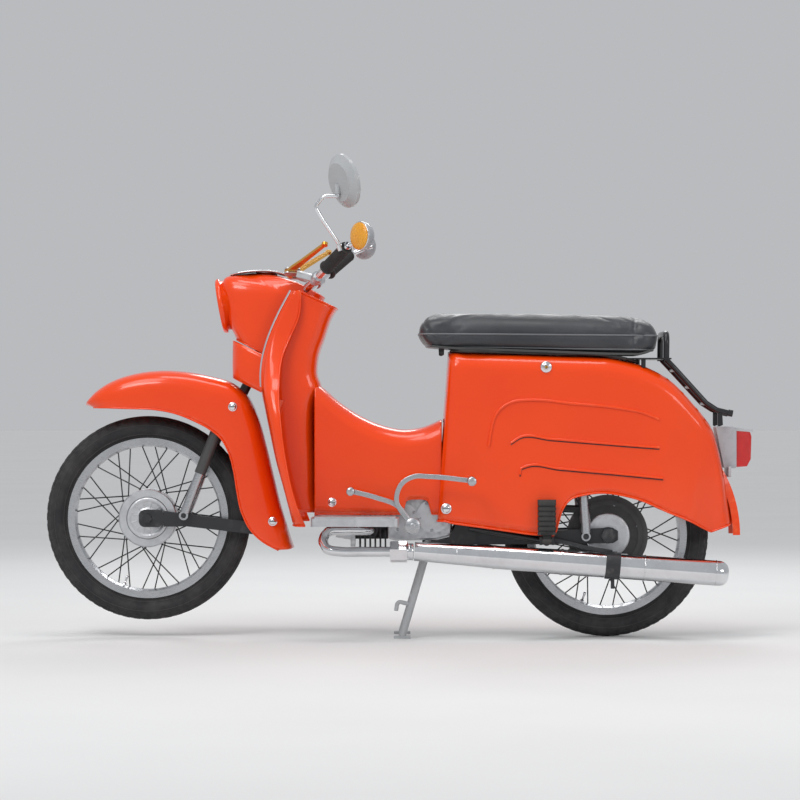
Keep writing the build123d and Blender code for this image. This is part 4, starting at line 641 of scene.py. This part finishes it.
def make_column_cover():
    def half(depth):
        return rounded_half(100.0, min(42.0, 0.6 * depth), (0.1, 0.5, 1.2), 8, depth, 5)

    rows = [hang(rear_x, rear_z, front_x, front_z, half)
            for front_x, front_z, rear_x, rear_z in smooth_line(COLUMN_PAIRS, 56)]
    panel("column_pressing", rows, "column_cover")
    top = rows[-1]
    hem("column_hem", top, 2.4)
    # the flat shelf round the lamp shell's pocket
    centre = Vector((-280, 0, 0))
    inner = []
    for p in top:
        d = Vector((p.x, p.y, 0)) - centre
        q = centre + d * min(1.0, 86.0 / max(d.length, 1e-6))
        inner.append(Vector((q.x, q.y, p.z + (p.x - q.x) * 0.46)))
    panel("column_shelf", [top, inner], sheet=1.6)


TUNNEL_TOP = [(-222, 672), (-199, 654), (-165, 624), (-113, 588), (-47, 558), (19, 546), (64, 553), (112, 573)]


def make_tunnel_cover():
    rows = []
    for x, z in smooth_line(TUNNEL_TOP, 80):
        arch = abs(x - 47) / 35.0
        low = 327 + (40 * (1 - arch**4) ** 0.25 if arch < 1 else 0)
        half = rounded_half(105.0, 48.0, (0.1, 0.7, 1.6), 9, z - low, 12, 1.2)
        rows.append([(x, y, z - f) for y, f in mirrored(half)])
    panel("tunnel_pressing", rows, "tunnel_cover")
    for s, letter in SIDES:
        hem(f"tunnel_hem_{letter}", [row[0 if s < 0 else -1] for row in rows], 2.2)
        cap_bolt(f"tunnel_bolt_{letter}", -176, s * 105, 358, 12)


# ---- rear body
BODY_STATIONS = [
    (132, 753, 100, 309), (200, 751, 190, 297), (290, 748, 290, 283), (384, 745, 366, 274),
    (430, 743.5, 407, 276), (445, 743, 416, 306), (480, 742, 427, 340), (520, 740.5, 452, 369),
    (551, 739, 495, 380), (600, 729, 541, 383), (642, 717, 592, 375), (706, 684, 650, 357),
    (745, 649, 700, 334), (771, 620, 740, 318), (800, 586, 768, 306), (821, 557, 785, 297),
    (838, 511, 800, 289), (853, 445, 812, 283), (866, 371, 818, 281), (874, 300, 819, 280)]
BODY_PLAN = [(90, 135), (600, 135), (700, 130), (780, 116), (840, 92), (880, 70)]
SWAGES = {
    "swage_long": [(234, 505), (240, 545), (250, 582), (272, 609), (300, 622), (345, 626), (450, 617),
                   (578, 604), (642, 591), (680, 575)],
    "swage_middle": [(292, 514), (315, 529), (400, 524), (500, 516), (600, 508), (680, 502)],
    "swage_low": [(316, 431), (317, 446), (334, 454), (420, 447), (500, 440), (600, 431), (690, 422)],
}


def body_width(x):
    """Half the bodywork's width at x."""
    return float(np.interp(x, *zip(*BODY_PLAN)))


def body_row(px, pz, qx, qz, half_width):
    return hang(px, pz, qx, qz, lambda depth: rounded_half(
        half_width, min(46.0, 0.5 * depth), (0.2, 0.9, 2.0), 9, depth, 20, 3.0, 3))


def make_rear_body():
    wrap = 26.0
    ends = smooth_line(BODY_STATIONS, 110)
    px, pz, qx, qz = ends[0]
    rows = []
    for k in range(7):
        a = pi / 2 * k / 7
        shift = wrap * (1 - cos(a))
        rows.append(body_row(px + shift, pz, qx + shift, qz, 135 - wrap + wrap * sin(a)))
    rows += [body_row(*end, body_width((end[0] + end[2]) / 2)) for end in ends if end[0] >= px + wrap]
    panel("rear_bodywork", rows, "rear_body", sheet=2.2, flip=True)
    for s, letter in SIDES:
        hem(f"rear_bodywork_hem_{letter}", [row[0 if s < 0 else -1] for row in rows], 2.6)
    hem("rear_bodywork_tail_hem", rows[-1], 2.6)
    # closing panel under the seat's nose
    edge = [p for p in rows[0] if p.z >= 560]
    closing = [[edge[k].lerp(edge[-1 - k], j / 12) + Vector((-3.0 * sin(pi * j / 12), 0, 0))
                for j in range(13)] for k in range(len(edge) // 2 + 1)]
    dress(thicken(outward(grid("body_front_panel", closing)), 1.6), "frame", "body_paint")
    for s, letter in SIDES:
        for name, points in SWAGES.items():
            path = [(x, s * (body_width(x) + 0.2), z) for x, z in smooth_line(points, 60)]
            upper = name == "swage_long"
            hem(f"{name}_{letter}", path, 4.2 if upper else 3.6)
            # under each lower rib runs a thin black enamel line: painted shade below the bead
            if not upper:
                shade = [(x, y - s * 0.5, z - 4.6) for x, y, z in path]
                dress(tube(f"{name}_shade_{letter}", shade, 1.6, sides=3), "frame", "frame_paint")
        cap_bolt(f"body_bolt_{letter}", 123, s * 134, 342, 14)
    place, out = (384, -135, 712), (0, -1, 0)
    lock = lathe("seat_lock", [(4.5, 7.0), (6.5, 7.2), (7.5, 6.6), (7.8, 4.2), (10.0, 4.0), (13.6, 3.4),
                               (15.0, 1.8), (15.0, -1.0)], place, out, 40)
    dress(lock, "frame", "chrome", "chrome_trim")
    barrel = lathe("seat_lock_barrel", [(0.2, 5.6), (2.4, 5.8), (4.6, 6.2), (4.6, 2.0)], place, out, 24)
    dress(barrel, "frame", "lever_metal")
    # the keyway is a black bar of painted shade
    slot_shade_bar("seat_lock_keyway_shade", *place, -1, (0.7, 3.2), (5.0, 6.6), "frame")


# ---- seat
SEAT_TOP = [(50, 800), (54, 826), (66, 843), (90, 849), (160, 850.5), (257, 851), (380, 849), (500, 846),
            (600, 842), (640, 838), (664, 830), (677, 812), (680, 796)]
SEAT_LOW = [(52, 792), (72, 766), (148, 759), (257, 755), (384, 751), (546, 745), (629, 742), (660, 750),
            (676, 762), (679, 786)]
SEAT_NOSE, SEAT_LENGTH = 48, 632.0
PAN_X = [48, 85, 148, 384, 546, 629, 660, 681]
PAN_TOP = [764, 764, 757.5, 749.5, 743.6, 742, 751, 756]
PAN_HELD = [764, 764, 758.2, 750.2, 744.2, 743, 752, 757]
SEAT_BOX = ((0.0465, 0.6815), (-0.1315, 0.1315), 0.853)
VOXEL, SWELL_CAP, SWELL_SHARE, CLOTH_FRAMES = 0.0055, 14.0, 0.5, 20


def seat_section(x, shrink, count=56):
    """The closed section of the cushion at x, as points round from the top."""
    top = float(np.interp(x, *zip(*smooth_line(SEAT_TOP, 160).tolist()))) - shrink
    low = float(np.interp(x, *zip(*smooth_line(SEAT_LOW, 160).tolist()))) + shrink * 0.4
    end = min(1.0, max(0.0, min(x - SEAT_NOSE, 681 - x)) / 46.0)
    half = 130.0 * (0.62 + 0.38 * (1 - (1 - end) ** 2.2) ** 0.5) - shrink
    half *= 1 - 0.05 * ((x - SEAT_NOSE) / SEAT_LENGTH)
    middle = low + (top - low) * 0.44
    points = []
    for k in range(count):
        a = 2 * pi * k / count
        c, s = cos(a), sin(a)
        y = half * (1 if s > 0 else -1) * abs(s) ** (2 / 3.4)
        if c >= 0:
            z = middle + (top - middle) * abs(c) ** (2 / 2.9)
        else:
            z = middle - (middle - low) * abs(c) ** (2 / 5.0)
            y *= 1 - 0.045 * abs(c)
        points.append((x, y, z))
    return points


def sew(verts):
    """Sews the channels in: two cross seams, and the seam between the top and the side band."""
    for v in verts:
        x, y, z = (c * 1000 for c in v.co)
        low = float(np.interp(z, [755, 852], [1, 0]))
        for seam in (61 + 60 * low ** 1.6, 622 - 12 * low):
            depth = 3.2 * np.exp(-((x - seam) / 5.0) ** 2)
            inward = Vector((0, -np.sign(y) * min(1.0, abs(y) / 100.0), -1.0 if z > 815 else 0.0))
            v.co += inward * float(depth) * MM
        band = 800 - 6 * (x - SEAT_NOSE) / SEAT_LENGTH
        if abs(y) > 60 or x < 90 or x > 650:
            depth = 2.6 * np.exp(-((z - band) / 3.2) ** 2)
            v.co += Vector((0, -np.sign(y) if 70 < x < 660 else 0.0, 0)) * float(depth) * MM


def make_seat():
    spots = [48.6, 50, 53, 58, 65, 74, 86, *np.linspace(100, 640, 60), 650, 660, 667, 672.5, 676.5, 679, 680.2]
    rows = [seat_section(x, 2.4) for x in spots]
    body = outward(grid("seat_cushion_cover", rows, wrap=True, caps=True))
    inflate(body)
    work = bmesh.new()
    work.from_mesh(body.data)
    # nothing passes the pan under the cushion or the CAD box round it
    (near, far), (left, right), highest = SEAT_BOX
    for v in work.verts:
        pan = float(np.interp(v.co.x * 1000, PAN_X, PAN_TOP))
        v.co.z = min(max(v.co.z, pan * MM), highest)
        v.co.x = min(max(v.co.x, near), far)
        v.co.y = min(max(v.co.y, left), right)
    sew(work.verts)
    work.to_mesh(body.data)
    work.free()
    for poly in body.data.polygons:
        poly.use_smooth = True
    smooth = body.modifiers.new("smooth", "SUBSURF")
    smooth.levels = smooth.render_levels = 1
    dress(body, "seat", "seat_cover", "seat_cushion")
    surface = body.evaluated_get(bpy.context.evaluated_depsgraph_get())
    for name, height, drop in (("seat_piping_band", 800.0, -6.0), ("seat_piping_rim", 768.0, -12.0)):
        ring = piping_ring(surface, height, drop)
        dress(tube(name, ring, 2.3, closed=True, sides=4), "seat", "seat_cover", material=PIPING)


def piping_ring(surface, height, drop):
    """Points round the finished cushion at a height that falls by drop along it."""
    ring = []
    for k in range(150):
        a = 2 * pi * k / 150
        away = Vector((cos(a) * 300, 110 * sin(a), 0))
        x, y = 364 + away.x, away.y
        away.normalize()
        origin = Vector((x, y, height + drop * (x - SEAT_NOSE) / SEAT_LENGTH)) + away * 260
        hit, place, _, _ = surface.ray_cast(origin * MM, -away)
        if hit:
            ring.append(place * 1000 + away * 0.2)
    return ring


def inflate(obj):
    """Voxel remesh, then Cloth pressed out from within. No point moves more than SWELL_CAP millimetres
    times SWELL_SHARE, and the underside is held."""
    bpy.context.view_layer.objects.active = obj
    mod = obj.modifiers.new("voxels", "REMESH")
    mod.mode = "VOXEL"
    mod.voxel_size = VOXEL
    settle(obj)
    start = np.array([v.co for v in obj.data.vertices], float)
    held = obj.vertex_groups.new(name="held")
    for v in obj.data.vertices:
        if v.co.z * 1000 < float(np.interp(v.co.x * 1000, PAN_X, PAN_HELD)) + 6:
            held.add([v.index], 1.0, "REPLACE")
    cloth = obj.modifiers.new("cloth", "CLOTH")
    s = cloth.settings
    s.quality = 6
    s.mass = 0.35
    s.tension_stiffness = s.compression_stiffness = 14
    s.shear_stiffness = 6
    s.bending_stiffness = 0.6
    s.use_pressure = True
    s.uniform_pressure_force = 4.0
    s.effector_weights.gravity = 0.0
    s.vertex_group_mass = "held"
    cloth.collision_settings.use_collision = False
    cloth.point_cache.frame_start, cloth.point_cache.frame_end = 1, CLOTH_FRAMES
    scene = bpy.context.scene
    for f in range(1, CLOTH_FRAMES + 1):
        scene.frame_set(f)
    settle(obj)
    step = np.array([v.co for v in obj.data.vertices], float) - start
    size = np.linalg.norm(step, axis=1, keepdims=True)
    step *= np.minimum(1.0, SWELL_CAP * MM / np.maximum(size, 1e-9))
    moved = start + step * SWELL_SHARE
    obj.data.vertices.foreach_set("co", moved.astype(np.float32).ravel())
    obj.vertex_groups.clear()
    scene.frame_set(1)


def settle(obj):
    """Applies an object's modifiers to its mesh."""
    graph = bpy.context.evaluated_depsgraph_get()
    done = bpy.data.meshes.new_from_object(obj.evaluated_get(graph))
    obj.modifiers.clear()
    obj.data = done


# ---- tyres
TYRE_STEPS = 300
BEAD = [(200.5, -17.6), (206, -18.2), (212, -19.0), (217, -23.0)]


def tread_depth(r, y, i):
    """How far the surface is moved at step i round the tyre: grooves, blocks and sidewall lines."""
    across, left = abs(y), y > 0
    lift = 0.0
    if across < 31 and r > 240:
        lift = -0.2
        if any(abs(across - groove) < 1.7 for groove in (0.0, 11.5, 22.0)):
            lift = -3.6
        if across > 12.6 and (i + (2 if left else 0)) % 5 == 0:
            lift = -3.2
        if 1.8 < across < 11.0 and (i + (1 if left else 3)) % 5 == 0:
            lift = -2.6
    if across > 30:
        if 226 < r < 228.5:
            lift = -0.8
        if 233.5 < r < 235.5:
            lift = -1.0
    return lift


def make_tyre(name, axle, body, node):
    def place(turn, r, y):
        return (axle[0] + r * cos(turn), y, axle[1] + r * sin(turn))

    arc = [radians(-142 + 284 * k / 44) for k in range(45)]
    ring = [(240 + 30 * cos(a), 35 * sin(a), a) for a in arc]
    rows = []
    for i in range(TYRE_STEPS):
        row = list(BEAD)
        for r, y, a in ring:
            lift = tread_depth(r, y, i)
            row.append((r + lift * cos(a), y + lift * sin(a)))
        row += [(r, -y) for r, y in reversed(BEAD)]
        rows.append([place(2 * pi * i / TYRE_STEPS, r, y) for r, y in row])
    dress(outward(grid(name, rows, wrap=True, ring=True)), body, "tyre", node)
    for s, letter in SIDES:
        for r, y, w in ((246.0, 34.2, 1.0), (222.0, 28.5, 1.1)):
            line = [place(2 * pi * k / 120, r, s * y) for k in range(120)]
            dress(tube(f"{name}_line_{letter}_{int(r)}", line, w, closed=True, sides=3), body, "tyre")
    angle = radians(250)
    valve = lathe(f"{name}_valve", [(0.3, 27), (3.4, 26.6), (3.6, 20), (2.6, 19), (2.6, 6), (5, 5), (5.5, 0)],
                  place(angle, 190, 0), (-cos(angle), 0, -sin(angle)), 16)
    dress(valve, body, "chrome")


# ---- controls
def bar_end(s):
    """The handlebar's outer point on one side, and its direction."""
    tip = Vector((-130, s * 245, 1026))
    return tip, (tip - Vector((-256, s * 52, 908))).normalized()


def ribbed_grip(name, s, body, node):
    tip, along = bar_end(s)
    profile = [(11.6, 0.0), (18.6, 0.4), (19.4, 2.0), (19.4, 5.0), (17.0, 6.6)]
    for k in range(18):
        a = 8.5 + k * 5.4
        profile += [(15.0, a), (16.6, a + 1.1), (16.6, a + 3.2), (15.0, a + 4.2)]
    profile += [(16.8, 106.5), (17.0, 109.0), (16.0, 111.6), (11.6, 112.0)]
    dress(lathe(name, profile, tip - along * 124, along), body, "rubber", node)


def make_indicators():
    for s, letter in SIDES:
        tip, along = bar_end(s)
        centre = Vector((-92, s * 282, 1047))
        out = Vector((-0.78, s * 0.62, 0)).normalized()
        shell = lathe(f"indicator_shell_{letter}",
                      [(0.5, -22.0), (14, -21.0), (24, -17.5), (31, -11.5), (35, -4.0), (36.8, 4.0),
                       (37.0, 10.0), (36.4, 12.0), (34.8, 12.0)], centre, out, 64)
        dress(shell, "steering", "grey_plastic", *(["indicator_housings"] if s < 0 else []))
        stalk = [tip - along * 6, tip.lerp(centre - out * 20, 0.5), centre - out * 19]
        dress(tube(f"indicator_stalk_{letter}", stalk, 7.0, count=8, taper=(1.0, 1.25)), "steering", "chrome")
        dress(tube(f"indicator_ring_{letter}", ring_points(centre + out * 12.0, out, 36.0), 1.3, closed=True),
              "steering", "chrome")
        rows = []
        for i in range(22):
            u = i / 21
            rise = 12.2 + 12.0 * cos(u * pi / 2) ** 0.9 + 0.45 * abs(sin(u * 9 * pi))
            rows.append(ring_points(centre + out * rise, out, max(35.4 * sin(u * pi / 2), 0.2)))
        lens = outward(grid(f"indicator_lens_{letter}", rows, wrap=True))
        dress(thicken(lens, 1.2), "steering", "amber", *(["indicator_lenses"] if s < 0 else []))


# ---- small parts on the carried-over castings
def make_seat_seal():
    """Rubber strip round the top of the bodywork that the seat comes down on."""
    side = [(138, 92, 755), (150, 108, 754.5), (290, 112, 750.5), (384, 112, 747.6), (551, 112, 741.6),
            (600, 110, 733.0), (622, 96, 727.0)]
    left = smooth_line([(x, -y, z) for x, y, z in side], 40).tolist()
    right = [(x, -y, z) for x, y, z in reversed(left)]
    dress(tube("seat_seal", left + right, 3.6, closed=True), "frame", "rubber")


def make_levers():
    """Gear lever and kickstarter: bent bars on bosses, with ridged pedals."""
    x, z = LEVER_HUB
    across = (0, 1, 0)
    for body, bends, bar_y, sheet, boss, shaft, pedal in (
            ("gear_lever", [(29, 307), (-4, 350), (-60, 372), (-126, 389)], -165, 8,
             (-172, 18), (-172, 13, 101), ((-126, -225, 389), 11, 46)),
            ("kickstarter",
             [LEVER_HUB, (8, 334), (-6, 360), (-4, 388), (10, 412), (38, 427), (80, 427), (190, 416)],
             -185.5, 9, (-193, 21), (-194, 8, 118), ((188, -250, 416), 12, 56))):
        dress(bent_bar(body + "_arm", bends, bar_y, 13, sheet), body, "steel", body)
        dress(turned(body + "_boss", (x, boss[0], z), across, boss[1], 14), body, "steel")
        dress(turned(body + "_shaft", (x, shaft[0], z), across, *shaft[1:]), body, "steel")
        place, radius, length = pedal
        ridges = [p for a in range(4, length - 6, 5)
                  for p in ((radius, a), (radius, a + 3), (radius - 0.9, a + 3.6), (radius - 0.9, a + 4.4))]
        profile = [(0.3, 0), (radius - 2, 0), (radius, 2), *ridges, (radius, length - 2), (radius - 2, length),
                   (radius - 4.5, length + 0.5), (radius - 4.5, 64), (0.3, 64)]
        dress(lathe(body + "_pedal", profile, place, across, 32), body, "steel")


def make_header_pipe():
    """Exhaust bend, union nut and ring."""
    bends = [(-75, -58, 284), (-76, -73, 284), (-92, -85, 284), (-150, -87, 284), (-184, -91, 281),
             (-199, -106, 260), (-190, -127, 238)] + [(x, SILENCER_Y, 230) for x in (-150, -100, -20)]
    dress(tube("header_bend", bends, 13, count=72, sides=8), "frame", "chrome", "header_pipe")
    nut = lathe("header_nut", [(13, 0), (26.5, 0), (29, 2.5), (29, 43.5), (26.5, 46), (13, 46)],
                (-24, SILENCER_Y, 230), (1, 0, 0), 6)
    for poly in nut.data.polygons:
        poly.use_smooth = False
    dress(nut, "frame", "chrome")
    dress(turned("header_ring", (20, SILENCER_Y, 230), (1, 0, 0), 22, 17.5), "frame", "chrome")


def make_brake_plate():
    """Cast plate over the dark carrier: rings and a ribbed face."""
    x, z = FRONT_AXLE
    profile = [(20.5, 2.4), (22.0, 3.4), (25.0, 3.4), (26.5, 1.6), (31.0, 1.2), (40.0, 1.0), (44.0, 1.4),
               (46.0, 2.6), (49.5, 2.8), (52.5, 2.2), (54.5, 0.8), (55.2, -0.6)]
    plate = lathe("brake_plate_cover", profile, (x, -38.2, z), (0, -1, 0), 72)
    dress(thicken(plate, 0.8), "front_swing", "alloy")
    for k in range(12):
        a = 2 * pi * (k + 0.5) / 12
        points = [(x + r * cos(a), -39.4, z + r * sin(a)) for r in (27.0, 44.0)]
        dress(tube(f"brake_plate_rib_{k}", points, 1.3, sides=3), "front_swing", "alloy")


def make_chain_case_cap():
    """Bright dished cap on the chain case, behind the swing arm, and the screws round it."""
    x, z = REAR_AXLE
    cap = lathe("chain_case_cap", [(10, 1.6), (20, 1.8), (34, 1.6), (40, 0.9), (46, 1.8), (52, 2.2),
                                   (57.0, 1.6), (59.0, -0.6)], (x, -63.3, z), (0, -1, 0), 72)
    dress(thicken(cap, 0.8), "rear_swing", "alloy")
    for k in range(6):
        a = 2 * pi * k / 6 + 0.3
        head = lathe(f"chain_case_screw_{k}", [(0.6, 1.2), (1.6, 1.3), (1.9, 2.4), (3.2, 2.2), (3.8, 0.0)],
                     (x + 82 * cos(a), -63.0, z + 82 * sin(a)), (0, -1, 0), 16)
        dress(head, "rear_swing", "steel")


def make_case_screws():
    """Cheese-head screws round the engine's side covers, clear of the levers' boss."""
    for s, letter in SIDES:
        for c, (x, z, reach) in enumerate(((10, 316, 33.0), (90, 322, 37.0))):
            for k in range(5):
                a = 2 * pi * (k + 0.25 * c) / 5 + 0.5
                spot = Vector((x + reach * cos(a), z + reach * sin(a)))
                if (spot - Vector(LEVER_HUB)).length < 22:
                    continue
                head = lathe(f"case_screw_{letter}{c}{k}",
                             [(0.9, 1.0), (1.8, 1.1), (2.0, 3.0), (3.4, 3.2), (4.2, 2.6), (4.3, 0.0)],
                             (spot.x, s * 89.6, spot.y), (0, s, 0), 16)
                dress(head, "frame", "steel")


def make_silencer_rings():
    """Rolled seams where the silencer's sections join."""
    fall = (231.0 - 172.0) / 819.0
    for k, (x, radius) in enumerate(((150, 26.2), (300, 29.2), (470, 31.4), (640, 33.2), (826, 32.6))):
        centre = Vector((x, SILENCER_Y, 231.0 - fall * (x - 40)))
        ring = ring_points(centre, (1, 0, -fall), radius, 72)
        dress(tube(f"silencer_seam_{k}", ring, 1.6, closed=True, sides=4), "frame", "chrome")


# ---- stage
def make_stage():
    """Pale floor, soft studio light and the camera, in metres."""
    scene = bpy.context.scene
    pale, reach = (0.76, 0.76, 0.755), 60
    mesh = bpy.data.meshes.new("floor")
    verts = [(reach * cos(2 * pi * k / 96), reach * sin(2 * pi * k / 96), 0) for k in range(96)]
    mesh.from_pydata(verts, [], [tuple(range(96))])
    floor = add("floor", mesh)
    mat, tree, shader, coords = new_material("pale_floor", pale, 0.75)
    tone = spread(tree, noise(tree, coords, 1.4, 4), 0.0, 1.0)
    wire(tree, mix(tree, tone, pale, (0.74, 0.74, 0.735)), shader, "Base Color")
    bump(tree, shader, [(noise(tree, coords, 60.0, 3), 0.03, 0.001)])
    mesh.materials.append(mat)
    scene.world = bpy.data.worlds.new("studio")
    scene.world.use_nodes = True
    tune(scene.world.node_tree.nodes["Background"], Color=(0.90, 0.92, 0.95, 1), Strength=0.54)
    sun = bpy.data.lights.new("daylight", "SUN")
    sun.energy = 0.68
    sun.angle = radians(28)
    add("daylight", sun).rotation_euler = (radians(28), radians(-20), 0)
    for name, place, aim, size, power in (
            ("key", (-2.0, -3.4, 3.4), (0.0, 0.0, 0.6), 1.8, 46.0),
            ("fill", (3.0, -3.0, 1.8), (0.1, 0.0, 0.5), 1.6, 20.0),
            ("rear", (0.6, 3.6, 3.2), (0.0, 0.0, 0.6), 2.0, 50.0),
            ("top", (0.0, -0.4, 4.2), (0.0, 0.0, 0.6), 2.0, 32.0)):
        data = bpy.data.lights.new(name, "AREA")
        data.shape = "RECTANGLE"
        data.size, data.size_y = size, size * 0.6
        data.energy = power
        lamp = add(name, data)
        lamp.location = place
        lamp.rotation_euler = (Vector(aim) - Vector(place)).to_track_quat("-Z", "Y").to_euler()
    data = bpy.data.cameras.new("camera")
    data.lens, data.sensor_width = 150, 36
    camera = add("camera", data)
    camera.location = (0.0023, -8.84, 0.626)
    camera.rotation_euler = (radians(90), 0, 0)
    bpy.context.scene.camera = camera
    scene.view_settings.view_transform = "Standard"
    scene.view_settings.look = "None"


# ---- put together
for part in frame["record"]["subparts"]:
    node = part["node"]
    if node in NODES:
        NODES[node].data.materials.clear()
        NODES[node].data.materials.append(FINISH[part["material_slot"]])

make_front_fender()
make_lamp_shell()
make_headlamp()
make_speedometer()
make_leg_shield()
make_neck_cover()
make_column_cover()
make_tunnel_cover()
make_rear_body()
make_seat()
make_tyre("front_tyre_tread", FRONT_AXLE, "front_wheel", "front_tyre")
make_tyre("rear_tyre_tread", REAR_AXLE, "rear_wheel", "rear_tyre")
ribbed_grip("grip_left_ribbed", -1, "steering", "left_grip")
ribbed_grip("grip_right_ribbed", 1, "throttle", "throttle_grip")
make_indicators()
make_seat_seal()
make_brake_plate()
make_levers()
make_header_pipe()
make_chain_case_cap()
make_case_screws()
make_silencer_rings()
make_stage()
